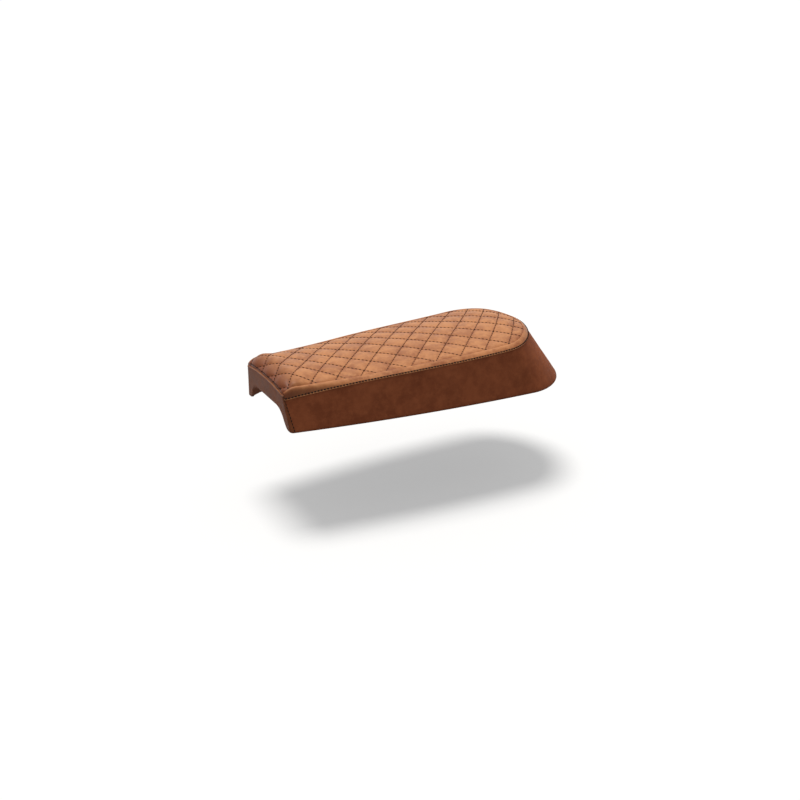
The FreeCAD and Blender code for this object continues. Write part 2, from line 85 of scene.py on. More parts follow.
def ripple(points: np.ndarray, pitch: float, octaves: int, seed: float) -> np.ndarray:
    """Smooth noise at points, about -1 to 1.

    Args:
        points: places in millimetres, one row each.
        pitch: size of the largest lumps in millimetres.
        octaves: how many finer layers are added.
        seed: shift that gives another pattern.

    Returns:
        One value for each point.
    """
    shift = Vector([seed * step for step in SEED_STEPS])
    places = [Vector(point) / pitch + shift for point in points]
    return np.array([noise.fractal(place, NOISE_FALL, NOISE_STEP, octaves) for place in places])


class Level(Enum):
    """The two outlines that the walls run between."""

    RIM = "rim"
    SEAM = "seam"


@dataclass(frozen=True)
class Outline:
    """One side of a plan outline: front edge, corner, flank and tail."""

    front: float
    half_front: float
    half_widest: float
    widest: float
    tail: float
    fullness: float
    corner: float

    def flank(self, s: np.ndarray) -> np.ndarray:
        """Half width at a station ahead of the widest one."""
        rest = 1.0 - s / self.widest
        return self.half_front + (self.half_widest - self.half_front) * (1.0 - rest * rest)

    def place(self, u: np.ndarray) -> tuple[np.ndarray, np.ndarray]:
        """Station and half width along the side.

        Args:
            u: 0 to 1 along the front, to 2 round the corner, to 3 down the flank, to 4 round the tail.

        Returns:
            Stations and distances from the middle line.
        """
        edge = self.flank(np.float64(self.front))
        past = self.front + self.corner
        beside = self.flank(np.float64(past))
        turn = np.clip(u - 1.0, 0.0, 1.0) * math.pi / 2.0
        side = past + (self.widest - past) * np.clip(u - 2.0, 0.0, 1.0)
        angle = np.clip(u - 3.0, 0.0, 1.0) * math.pi / 2.0
        power = 2.0 / self.fullness
        stations = [
            np.full_like(u, self.front),
            self.front + self.corner * (1.0 - np.cos(turn)),
            side,
            self.widest + self.tail * np.sin(angle) ** power,
        ]
        halves = [
            (edge - self.corner) * np.clip(u, 0.0, 1.0),
            edge - self.corner + (beside - edge + self.corner) * np.sin(turn),
            self.flank(side),
            self.half_widest * np.clip(np.cos(angle), 0.0, 1.0) ** power,
        ]
        zones = [u < 1.0, u < 2.0, u < 3.0]
        return np.select(zones, stations[:3], stations[3]), np.select(zones, halves[:3], halves[3])


@dataclass(frozen=True)
class SeatForm:
    """Form that every leather piece shares: leaning walls, seam, crowned top and front roll."""

    front_overhang: float = 6.5
    corner_radius: float = 6.0
    least_corner: float = 1.0
    rim_half_front: float = 97.0
    rim_half_widest: float = 135.0
    rim_tail: float = 117.0
    rim_fullness: float = 1.85
    seam_half_front: float = 83.0
    seam_half_widest: float = 116.8
    seam_tail: float = 89.5
    seam_setback: float = 71.0
    seam_fullness: float = 1.81
    seam_heights: tuple[float, ...] = (57.0, 73.4, 80.9, 95.3)
    front_seam_height: float = 68.5
    front_seam_drop: float = 7.5
    edge_rise: float = 3.0
    crown: float = 7.6
    crown_gain: float = 6.0
    crown_power: float = 2.0
    tail_power: float = 3.0
    tail_flattening: float = 0.6
    swell_length: float = 170.0
    swell_edge: float = 7.5
    swell_crown: float = 13.5
    swell_power: float = 3.7
    roll_length: float = 31.0
    roll_power: float = 1.35
    roll_power_edge: float = 1.9
    roll_edge_turn: int = 4
    front_lip: float = 1.0
    corner_seam_foot: float = 7.5
    corner_seam_head: float = 1.8
    border: float = 11.5
    border_narrowing: float = 0.6
    tail_narrowing: float = 0.25
    fine_places: int = 4001

    @property
    def base_length(self) -> float:
        """Length from the front foot to the tail, from the solids' box."""
        low, high = CAD_BOX
        return (high.x - low.x) / MM - self.front_overhang

    @property
    def seam_tail_station(self) -> float:
        """Station of the seam's tail."""
        return self.base_length - self.seam_setback

    @property
    def seam_widest(self) -> float:
        """Station where the seam is widest."""
        return self.seam_tail_station - self.seam_tail

    def corner_place(self, share: float) -> float:
        """Place along the outline of the upright corner seam, at a share of its height.

        Args:
            share: 0 at the rim, 1 at the side seam.

        Returns:
            The place, on the corner or a little way down the flank.
        """
        setback = self.corner_seam_foot + (self.corner_seam_head - self.corner_seam_foot) * share
        if setback < self.corner_radius:
            return 1.0 + math.acos(1.0 - setback / self.corner_radius) / (math.pi / 2.0)
        return 2.0 + (setback - self.corner_radius) / (self.base_length - self.rim_tail - self.corner_radius)

    def corner_share(self, z: float) -> float:
        """Share of the corner seam's height at a height."""
        return min(max(z / self.seam_heights[0], 0.0), 1.0)

    def round_places(self, share: float, count: int) -> np.ndarray:
        """Places from the left corner seam round the tail to the right one, an even distance apart.

        Args:
            share: share of the corner seam's height.
            count: how many steps.

        Returns:
            Signed places, one more than the steps.
        """
        left = self.even_places(self.corner_place(share), 4.0, count // 2 + 1)
        return np.concatenate([left, -left[-2::-1]])

    def swell(self, s: np.ndarray) -> np.ndarray:
        """Share of the front's fullness left at a station."""
        return np.clip(1.0 - np.maximum(s, 0.0) / self.swell_length, 0.0, None) ** 2

    def border_width(self, s: np.ndarray) -> np.ndarray:
        """Width of the plain border, narrower where the front is full and at the tail."""
        tail = ease((s - self.seam_widest) / self.seam_tail)
        return self.border * (1.0 - self.border_narrowing * self.swell(s) - self.tail_narrowing * tail)

    def at(self, s: np.ndarray, y: np.ndarray, z: np.ndarray) -> np.ndarray:
        """Points in millimetres in the part's frame, one row each."""
        middle = (self.base_length - self.front_overhang) / 2.0
        return np.stack(np.broadcast_arrays(middle - s, y, z), axis=-1)

    def seam_height(self, s: np.ndarray) -> np.ndarray:
        """Height of the side seam, a cubic through the stated heights.

        Args:
            s: stations, where those ahead of the front foot count as 0.

        Returns:
            One height for each station.
        """
        places = range(len(self.seam_heights))
        share = np.maximum(s, 0.0) / self.seam_tail_station * (len(places) - 1)
        total = np.zeros_like(share, dtype=float)
        for i, height in enumerate(self.seam_heights):
            others = [(share - j) / (i - j) for j in places if j != i]
            total = total + height * np.prod(others, axis=0)
        return total

    def outline(self, level: Level, inset: float) -> Outline:
        """Plan outline at a level.

        Args:
            level: the rim or the seam.
            inset: distance that the outline is moved inwards.

        Returns:
            The outline of one side.
        """
        corner = max(self.corner_radius - inset, self.least_corner)
        if level is Level.RIM:
            return Outline(inset, self.rim_half_front - inset, self.rim_half_widest - inset,
                           self.base_length - self.rim_tail, self.rim_tail - inset, self.rim_fullness, corner)
        lean = -self.front_overhang * self.seam_heights[0] / self.front_seam_height
        return Outline(lean + inset, self.seam_half_front - inset, self.seam_half_widest - inset,
                       self.seam_widest, self.seam_tail - inset, self.seam_fullness, corner)

    def seam_line(self, w: np.ndarray, inset: float = 0.0) -> tuple[np.ndarray, np.ndarray, np.ndarray]:
        """Station, sideways distance and height of the side seam, at signed places along the outline."""
        s, y = self.outline(Level.SEAM, inset).place(np.abs(w))
        return s, y * np.sign(w), self.seam_height(s)

    def wall(self, w: np.ndarray, z: np.ndarray, inset: float = 0.0) -> tuple[np.ndarray, np.ndarray]:
        """Station and sideways distance on the leaning walls.

        Args:
            w: signed place along the outline, left side above 0.
            z: height.
            inset: distance inside the cover's outer face.

        Returns:
            Stations and sideways distances.
        """
        u = np.abs(w)
        rim_s, rim_y = self.outline(Level.RIM, inset).place(u)
        seam_s, seam_y = self.outline(Level.SEAM, inset).place(u)
        outer_s, _ = self.outline(Level.SEAM, 0.0).place(u)
        share = z / self.seam_height(outer_s)
        return rim_s + (seam_s - rim_s) * share, (rim_y + (seam_y - rim_y) * share) * np.sign(w)

    def wall_points(self, w: np.ndarray, z: np.ndarray, insets: np.ndarray) -> np.ndarray:
        """Points on the leaning walls, each at its own inset.

        Args:
            w: signed places along the outline.
            z: heights.
            insets: distances inside the cover's outer face.

        Returns:
            Points in millimetres, one row each.
        """
        points = np.empty((len(w), 3))
        for inset in np.unique(insets):
            at = insets == inset
            s, y = self.wall(w[at], z[at], float(inset))
            points[at] = self.at(s, y, z[at])
        return points

    def even_places(self, first: float, last: float, count: int) -> np.ndarray:
        """Signed places along the outline, an even distance apart on the seam.

        Args:
            first: place to start from, as u of the outline with the side's sign.
            last: place to end at.
            count: how many places.

        Returns:
            The places, in order.
        """
        fine = np.linspace(first, last, self.fine_places)
        length = run_lengths(self.at(*self.seam_line(fine)))
        return np.interp(np.linspace(0.0, length[-1], count), length, fine)

    def front_seam(self, y: np.ndarray) -> np.ndarray:
        """Height of the front seam."""
        return self.front_seam_height - self.front_seam_drop * (y / self.seam_half_front) ** 2

    def crowned_top(self, s: np.ndarray, y: np.ndarray) -> np.ndarray:
        """Height of the top behind the front roll, without its puffs.

        Args:
            s: stations behind the roll.
            y: sideways distances.

        Returns:
            One height for each place.
        """
        full = self.swell(s)
        seam = self.outline(Level.SEAM, 0.0)
        half = seam.flank(np.minimum(s, self.seam_widest))
        across = np.minimum(np.abs(y) / half, 1.0) ** (self.crown_power + self.swell_power * full)
        along = (np.clip(s - self.seam_widest, 0.0, None) / self.seam_tail) ** self.tail_power
        middle = self.crown + self.crown_gain * s / self.base_length + self.swell_crown * full
        rise = self.edge_rise * (1.0 - self.tail_flattening * np.minimum(along, 1.0))
        edge = self.seam_height(s) + rise + self.swell_edge * full
        return edge + middle * (1.0 - across) * (1.0 - along)

    def cushion_top(self, s: np.ndarray, y: np.ndarray) -> np.ndarray:
        """Height of the top without its puffs, with the front roll.

        Args:
            s: stations.
            y: sideways distances.

        Returns:
            One height for each place.
        """
        behind = np.maximum(s, self.roll_length - self.front_overhang)
        foot = self.front_seam(y) + self.front_lip
        left = 1.0 - np.clip((s + self.front_overhang) / self.roll_length, 0.0, 1.0)
        outwards = np.minimum(np.abs(y) / self.seam_half_front, 1.0) ** self.roll_edge_turn
        power = self.roll_power + self.roll_power_edge * outwards
        return foot + (self.crowned_top(behind, y) - foot) * (1.0 - left ** power)

    def border_distance(self, s: np.ndarray, y: np.ndarray) -> np.ndarray:
        """Distance inwards from the side seam, seen from above.

        Args:
            s: stations.
            y: sideways distances.

        Returns:
            One distance for each place, below 0 outside the seam.
        """
        half = self.outline(Level.SEAM, 0.0).flank(np.minimum(s, self.seam_widest))
        along = np.clip(s - self.seam_widest, 0.0, None) / self.seam_tail
        power = self.seam_fullness
        ring = (along ** power + (np.abs(y) / half) ** power) ** (1.0 / power)
        return (1.0 - ring) * (half + (self.seam_tail - half) * np.minimum(along, 1.0))

    def inside_border(self, s: np.ndarray, y: np.ndarray) -> np.ndarray:
        """Distance inwards from the groove along the plain border."""
        return self.border_distance(s, y) - self.border_width(s)


def run_lengths(points: np.ndarray) -> np.ndarray:
    """Length along a row of points, at each of them."""
    steps = np.linalg.norm(np.diff(points, axis=0), axis=1)
    return np.concatenate([[0.0], np.cumsum(steps)])


def between(run: np.ndarray, rows: np.ndarray, place: float) -> np.ndarray:
    """Row at a length along a run, between the two nearest rows."""
    return np.array([np.interp(place, run, column) for column in rows.T])


def deselect() -> None:
    """Leaves object mode with nothing selected."""
    if bpy.context.object and bpy.context.object.mode != "OBJECT":
        bpy.ops.object.mode_set(mode="OBJECT")
    bpy.ops.object.select_all(action="DESELECT")


def pick(piece: bpy.types.Object) -> None:
    """Selects one piece alone and makes it the active one.

    Args:
        piece: the piece that the next operators act on.
    """
    deselect()
    piece.select_set(True)
    bpy.context.view_layer.objects.active = piece


def face_outwards() -> None:
    """Turns all faces of the piece in edit mode outwards."""
    bpy.ops.mesh.select_all(action="SELECT")
    bpy.ops.mesh.normals_make_consistent(inside=False)


def read_points(piece: bpy.types.Object) -> np.ndarray:
    """Vertices of a piece.

    Args:
        piece: a mesh piece in object mode.

    Returns:
        Their places in metres, one row each.
    """
    flat = np.empty(len(piece.data.vertices) * 3, np.float64)
    piece.data.vertices.foreach_get("co", flat)
    return flat.reshape(-1, 3)


def write_points(piece: bpy.types.Object, points: np.ndarray) -> None:
    """Moves the vertices of a piece to places in metres."""
    piece.data.vertices.foreach_set("co", np.asarray(points, np.float32).ravel())
    piece.data.update()


def write_value(piece: bpy.types.Object, name: str, values: np.ndarray) -> None:
    """Stores one number for each vertex, for the materials to read."""
    layer = piece.data.attributes.get(name) or piece.data.attributes.new(name, "FLOAT", "POINT")
    layer.data.foreach_set("value", np.asarray(values, np.float32))


def grid_piece(name: str, columns: int, rows: int, shape: Shape, **marks: Shape) -> bpy.types.Object:
    """Adds a flat grid and lays its vertices on a surface.

    Args:
        name: name of the piece.
        columns: faces along the first direction.
        rows: faces along the second direction.
        shape: gives points in millimetres from two arrays that run from 0 to 1.
        marks: give the values that the materials read, from the same two arrays.

    Returns:
        The new piece, selected and active.
    """
    deselect()
    bpy.ops.mesh.primitive_grid_add(x_subdivisions=columns, y_subdivisions=rows, size=2.0)
    piece = bpy.context.object
    piece.name = name
    piece.data.name = name
    flat = (read_points(piece) + 1.0) / 2.0
    write_points(piece, shape(flat[:, 0], flat[:, 1]) * MM)
    for mark, values in marks.items():
        write_value(piece, mark, values(flat[:, 0], flat[:, 1]))
    return piece


def close_up(piece: bpy.types.Object) -> None:
    """Merges doubles, fills open ends, turns the faces outwards and shades the piece smooth.

    Args:
        piece: a rolled-up grid.
    """
    pick(piece)
    bpy.ops.object.mode_set(mode="EDIT")
    bpy.ops.mesh.select_all(action="SELECT")
    bpy.ops.mesh.remove_doubles(threshold=MERGE_DISTANCE * MM)
    bpy.ops.mesh.select_all(action="SELECT")
    bpy.ops.mesh.fill_holes(sides=0)
    face_outwards()
    bpy.ops.object.mode_set(mode="OBJECT")
    bpy.ops.object.shade_smooth_by_angle(angle=math.radians(SMOOTH_ANGLE))


class Value:
    """A shader socket that takes part in sums like a number."""

    def __init__(self, nodes: "Nodes", socket: bpy.types.NodeSocket) -> None:
        """Wraps a socket of a node tree."""
        self.nodes = nodes
        self.socket = socket

    def _math(self, operation: str, first: object, second: object) -> "Value":
        """Adds one Math node."""
        return self.nodes.add("ShaderNodeMath", {"operation": operation}, {0: first, 1: second}).out(0)

    def __add__(self, other: object) -> "Value":
        """Sum."""
        return self._math("ADD", self, other)

    def __radd__(self, other: object) -> "Value":
        """Sum with a number first."""
        return self._math("ADD", other, self)

    def __sub__(self, other: object) -> "Value":
        """Difference."""
        return self._math("SUBTRACT", self, other)

    def __rsub__(self, other: object) -> "Value":
        """Difference with a number first."""
        return self._math("SUBTRACT", other, self)

    def __mul__(self, other: object) -> "Value":
        """Product."""
        return self._math("MULTIPLY", self, other)

    def __rmul__(self, other: object) -> "Value":
        """Product with a number first."""
        return self._math("MULTIPLY", other, self)

    def swing(self, spread: float) -> "Value":
        """A pattern from 0 to 1, centred on 0 and spread out by a factor."""
        return (self - 0.5) * spread

    def step(self, low: float, high: float) -> "Value":
        """Smooth step from 0 at low to 1 at high."""
        settings = {"interpolation_type": "SMOOTHSTEP"}
        return self.nodes.add("ShaderNodeMapRange", settings, {0: self, 1: low, 2: high}).out(0)


class Added:
    """A node that was added to a tree."""

    def __init__(self, nodes: "Nodes", node: bpy.types.Node) -> None:
        """Keeps the node and its tree."""
        self.nodes = nodes
        self.node = node

    def out(self, key: int | str) -> Value:
        """One of the node's outputs."""
        return Value(self.nodes, self.node.outputs[key])


class Nodes:
    """A node tree under construction."""

    def __init__(self, tree: bpy.types.NodeTree) -> None:
        """Starts from an empty tree."""
        self.tree = tree
        self.tree.nodes.clear()

    def feed(self, node: bpy.types.Node, inputs: dict[int | str, object]) -> None:
        """Sets or links sockets of a node.

        Args:
            node: the node.
            inputs: values or links of its sockets, by name or number.
        """
        for key, value in inputs.items():
            if isinstance(value, Value):
                self.tree.links.new(value.socket, node.inputs[key])
            else:
                node.inputs[key].default_value = value

    def add(self, kind: str, settings: dict[str, object], inputs: dict[int | str, object]) -> Added:
        """Adds a node.

        Args:
            kind: the node's type.
            settings: its properties, set first.
            inputs: values or links of its sockets, by name or number.

        Returns:
            The added node.
        """
        node = self.tree.nodes.new(kind)
        for key, value in settings.items():
            setattr(node, key, value)
        self.feed(node, inputs)
        return Added(self, node)

    def seen(self) -> Value:
        """1 for rays that show a place to the camera, in a reflection or through glass."""
        path = self.add("ShaderNodeLightPath", {}, {})
        return path.out("Is Camera Ray") + path.out("Is Glossy Ray") + path.out("Is Transmission Ray")


class Paint(Nodes):
    """A material under construction, with one surface shader."""

    def __init__(self, name: str) -> None:
        """Starts a material with its surface shader.

        Args:
            name: name of the material.
        """
        self.material = bpy.data.materials.new(name)
        self.material.use_nodes = True
        super().__init__(self.material.node_tree)
        self.surface = self.add("ShaderNodeBsdfPrincipled", {}, {})
        self.output = self.add("ShaderNodeOutputMaterial", {}, {"Surface": self.surface.out("BSDF")})
        self.place = self.add("ShaderNodeTexCoord", {}, {}).out("Object")

    def set(self, **inputs: object) -> None:
        """Sets or links sockets of the surface shader, with underscores for spaces."""
        self.feed(self.surface.node, {key.replace("_", " "): value for key, value in inputs.items()})

    def noise(self, scale: float, detail: float, roughness: float = 0.55,
              place: Value | None = None) -> Value:
        """Cloudy pattern from 0 to 1, with the scale in lumps a metre."""
        inputs = {"Vector": place or self.place, "Scale": scale, "Detail": detail, "Roughness": roughness}
        return self.add("ShaderNodeTexNoise", {}, inputs).out(0)

    def cells(self, scale: float) -> Value:
        """Pebbled pattern, with the scale in pebbles a metre."""
        inputs = {"Vector": self.place, "Scale": scale}
        return self.add("ShaderNodeTexVoronoi", {"feature": "SMOOTH_F1"}, inputs).out("Distance")

    def stretched(self, scale: Sequence[float]) -> Value:
        """Object coordinates, scaled by a different factor along each axis."""
        return self.add("ShaderNodeMapping", {}, {"Vector": self.place, "Scale": scale}).out("Vector")

    def attribute(self, name: str) -> Value:
        """A number stored on the piece's vertices."""
        return self.add("ShaderNodeAttribute", {"attribute_name": name}, {}).out("Fac")

    def mix(self, share: Value, first: object, second: object) -> Value:
        """Colour between two colours."""
        return self.add("ShaderNodeMix", {"data_type": "RGBA"}, {0: share, 6: first, 7: second}).out(2)

    def bump(self, height: Value, strength: float, depth: float) -> None:
        """Gives the surface shader a bumped normal, with the depth in millimetres."""
        inputs = {"Height": height, "Strength": strength, "Distance": depth * MM}
        self.set(Normal=self.add("ShaderNodeBump", {}, inputs).out("Normal"))


def colour(red: float, green: float, blue: float) -> Colour:
    """Linear colour with full cover."""
    return (red, green, blue, 1.0)


def grey(level: float) -> Colour:
    """Linear grey with full cover."""
    return colour(level, level, level)


@dataclass(frozen=True)
class Leather:
    """Waxed leather: cloudy colour, fine grain, paler blotches, painted shade on marked folds and painted
    highlight on marked raised places.
    """

    name: str
    body: Colour
    dark: Colour
    pale: Colour
    painted_shade_colour: Colour
    rough: float = 0.5
    cloud: float = 26.0
    cloud_share: float = 0.6
    cloud_rough: float = 0.16
    blotch: float = 90.0
    blotch_share: float = 0.4
    blotch_rough: float = 0.3
    blotch_lift: float = 0.6
    raised_lift: float = 0.7
    grain: float = 750.0
    pores_to_grain: float = 2.2
    pore_share: float = 0.25
    pale_share: float = 0.5
    bump: float = 0.35
    bump_depth: float = 0.6
    gloss: float = 0.35

    def make(self) -> bpy.types.Material:
        """Builds the material.

        Returns:
            The material.
        """
        paint = Paint(self.name)
        cloud = paint.noise(self.cloud, detail=4.0, roughness=0.6)
        blotch = paint.noise(self.blotch, detail=5.0, roughness=0.65)
        grain = paint.cells(self.grain)
        pores = paint.noise(self.grain * self.pores_to_grain, detail=2.0)
        # Painted shade: the fold mark darkens the leather over the front roll, along sewn lines, in grooves,
        # on turned faces and at the rims.
        fold = paint.attribute("fold")
        # Painted highlight: the raised mark pales the quilt's puffs, the border roll's top and the seam fold;
        # on the side band it follows the waves, and on the front panel it gives random paler patches.
        raised = paint.attribute("raised")
        mottle = (cloud * self.cloud_share + blotch * self.blotch_share).step(low=0.36, high=0.62)
        tone = paint.mix(mottle, self.dark, self.body)
        lift = blotch.step(low=0.42, high=0.75) * self.blotch_lift + raised * self.raised_lift
        tone = paint.mix(lift * self.pale_share, tone, self.pale)
        # Painted shade: mixes towards the shade colour where the fold mark is set.
        tone = paint.mix(fold, tone, self.painted_shade_colour)
        tone = paint.mix(pores.step(low=0.58, high=0.8) * self.pore_share, tone, self.dark)
        rough = self.rough + blotch.swing(self.blotch_rough) + cloud.swing(self.cloud_rough)
        paint.set(Base_Color=tone, Roughness=rough, Specular_IOR_Level=self.gloss)
        paint.bump(grain * 0.7 + pores * 0.5 + blotch * 0.8, self.bump, self.bump_depth)
        return paint.material


@dataclass(frozen=True)
class Thread:
    """Waxed sewing thread, nearly black."""

    name: str
    body: Colour
    pale: Colour
    rough: float = 0.75
    fibre: float = 2600.0
    gloss: float = 0.12

    def make(self) -> bpy.types.Material:
        """Builds the material.

        Returns:
            The material.
        """
        paint = Paint(self.name)
        fibre = paint.noise(self.fibre, detail=2.0)
        tone = paint.mix(fibre.step(low=0.4, high=0.75), self.body, self.pale)
        paint.set(Base_Color=tone, Roughness=self.rough + fibre.swing(0.3), Specular_IOR_Level=self.gloss)
        paint.bump(fibre, strength=0.4, depth=0.1)
        return paint.material


@dataclass(frozen=True)
class Plastic:
    """Moulded plastic or rubber with a fine spark grain and a little dust."""

    name: str
    body: Colour
    dust: Colour
    rough: float
    grain: float = 1100.0
    cloud: float = 30.0
    dust_share: float = 0.4

    def make(self) -> bpy.types.Material:
        """Builds the material.

        Returns:
            The material.
        """
        paint = Paint(self.name)
        spark = paint.noise(self.grain, detail=3.0, roughness=0.6)
        cloud = paint.noise(self.cloud, detail=4.0, roughness=0.6)
        tone = paint.mix(cloud.step(low=0.45, high=0.8) * self.dust_share, self.body, self.dust)
        paint.set(Base_Color=tone, Roughness=self.rough + cloud.swing(0.2))
        paint.bump(spark, strength=0.3, depth=0.2)
        return paint.material


@dataclass(frozen=True)
class Metal:
    """Plated or bare metal with drawn lines and dull patches."""

    name: str
    body: Colour
    dull: Colour
    rough: float
    lines: tuple[float, float, float] = (1500.0, 90.0, 1500.0)
    patches: float = 120.0

    def make(self) -> bpy.types.Material:
        """Builds the material.

        Returns:
            The material.
        """
        paint = Paint(self.name)
        lines = paint.noise(1.0, detail=2.0, roughness=0.5, place=paint.stretched(self.lines))
        patches = paint.noise(self.patches, detail=4.0, roughness=0.6)
        tone = paint.mix(patches.step(low=0.4, high=0.75), self.body, self.dull)
        paint.set(Base_Color=tone, Metallic=1.0, Roughness=self.rough + lines.swing(0.2) + patches.swing(0.2))
        paint.bump(lines, strength=0.15, depth=0.1)
        return paint.material


@dataclass(frozen=True)
class Foam:
    """Moulded open-cell foam."""

    name: str
    body: Colour
    shade: Colour
    rough: float = 0.9
    pores: float = 700.0
    cloud: float = 40.0
    cloud_share: float = 0.3

    def make(self) -> bpy.types.Material:
        """Builds the material.

        Returns:
            The material.
        """
        paint = Paint(self.name)
        pores = paint.cells(self.pores)
        cloud = paint.noise(self.cloud, detail=4.0)
        tone = paint.mix(pores.step(low=0.1, high=0.6), self.shade, self.body)
        tone = paint.mix(cloud.step(low=0.5, high=0.8) * self.cloud_share, tone, self.shade)
        paint.set(Base_Color=tone, Roughness=self.rough + cloud.swing(0.1))
        paint.bump(pores, strength=0.6, depth=0.5)
        return paint.material


Finish = Leather | Thread | Plastic | Metal | Foam

TOP_LEATHER = Leather(
    "top_leather", body=colour(0.55, 0.220, 0.082), dark=colour(0.31, 0.095, 0.030),
    pale=colour(0.66, 0.31, 0.140), painted_shade_colour=colour(0.17, 0.041, 0.012),
    rough=0.48, pale_share=0.45, gloss=0.24)
# Painted shade: the side leather is the top's leather in a darker, more saturated copy, for the walls that
# the lamp lights less.
SIDE_LEATHER = Leather(
    "side_leather", body=colour(0.326, 0.092, 0.036), dark=colour(0.224, 0.059, 0.023),
    pale=colour(0.42, 0.130, 0.053), painted_shade_colour=colour(0.075, 0.018, 0.007),
    rough=0.7, cloud=22.0, blotch=70.0, pale_share=0.45, gloss=0.08)
# Painted shade: the front leather is a darker copy of the same leather, for the front that faces away from
# the lamp.
FRONT_LEATHER = Leather(
    "front_leather", body=colour(0.245, 0.074, 0.028), dark=colour(0.15, 0.042, 0.015),
    pale=colour(0.31, 0.100, 0.040), painted_shade_colour=colour(0.08, 0.024, 0.010),
    rough=0.54, pale_share=0.4, gloss=0.10)
DARK_THREAD = Thread("dark_thread", body=colour(0.006, 0.004, 0.003), pale=colour(0.020, 0.011, 0.008))
PAN_PLASTIC = Plastic(
    "pan_plastic", body=colour(0.018, 0.018, 0.020), dust=colour(0.05, 0.05, 0.052), rough=0.55)
BUFFER_RUBBER = Plastic(
    "buffer_rubber", body=grey(0.012), dust=colour(0.04, 0.038, 0.036), rough=0.75, grain=500.0)
STRIP_STEEL = Metal("strip_steel", body=colour(0.60, 0.60, 0.58), dull=colour(0.42, 0.42, 0.41), rough=0.38)
RIVET_METAL = Metal("rivet_metal", body=colour(0.70, 0.70, 0.71), dull=colour(0.52, 0.52, 0.53), rough=0.35)
FOAM_YELLOW = Foam("foam_yellow", body=colour(0.60, 0.53, 0.38), shade=colour(0.38, 0.31, 0.20))


@cache
def material_of(finish: Finish) -> bpy.types.Material:
    """The material of a finish, built once."""
    return finish.make()


def dress(piece: bpy.types.Object, finish: Finish) -> None:
    """Gives every face of a piece one finish."""
    piece.data.materials.clear()
    piece.data.materials.append(material_of(finish))


def settle(piece: bpy.types.Object, slot: str | None, *nodes: str) -> None:
    """Lets a piece ride on the seat, and hides the solids that it stands for.

    Args:
        piece: the finished piece.
        slot: its material slot in the part's record, if it has one; not used.
        nodes: the solids that it replaces.
    """
    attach(piece, "root")
    if nodes:
        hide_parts(*nodes)
    log.info("%s: %d faces", piece.name, len(piece.data.polygons))


def tube(name: str, middle: np.ndarray, radius: float, raised: float, fold: float) -> bpy.types.Object:
    """Rolled leather edge along a row of points.

    Args:
        name: name of the piece.
        middle: points that it follows, in millimetres.
        radius: its radius.
        raised: how much painted highlight it has.
        fold: how much painted shade it has.

    Returns:
        The closed tube, in the top's leather.
    """
    along = np.gradient(middle, axis=0)
    along /= np.linalg.norm(along, axis=1, keepdims=True)
    up = UP - along * along[:, 2:3]
    up /= np.linalg.norm(up, axis=1, keepdims=True)
    side = np.cross(along, up)

    def shape(u: np.ndarray, v: np.ndarray) -> np.ndarray:
        """Points of the tube, round its middle line.

        Args:
            u: share of the way along.
            v: share of the way round.

        Returns:
            Points in millimetres, one row each.
        """
        column = np.round(u * (len(middle) - 1)).astype(int)
        angle = (v * 2.0 * math.pi)[:, None]
        return middle[column] + radius * (np.cos(angle) * side[column] + np.sin(angle) * up[column])

    piece = grid_piece(name, len(middle) - 1, TUBE_SIDES, shape)
    # Painted highlight and painted shade, even along the whole tube.
    for mark, value in (("raised", raised), ("fold", fold)):
        write_value(piece, mark, np.full(len(piece.data.vertices), value))
    close_up(piece)
    dress(piece, TOP_LEATHER)
    settle(piece, "quilted_leather")
    return piece


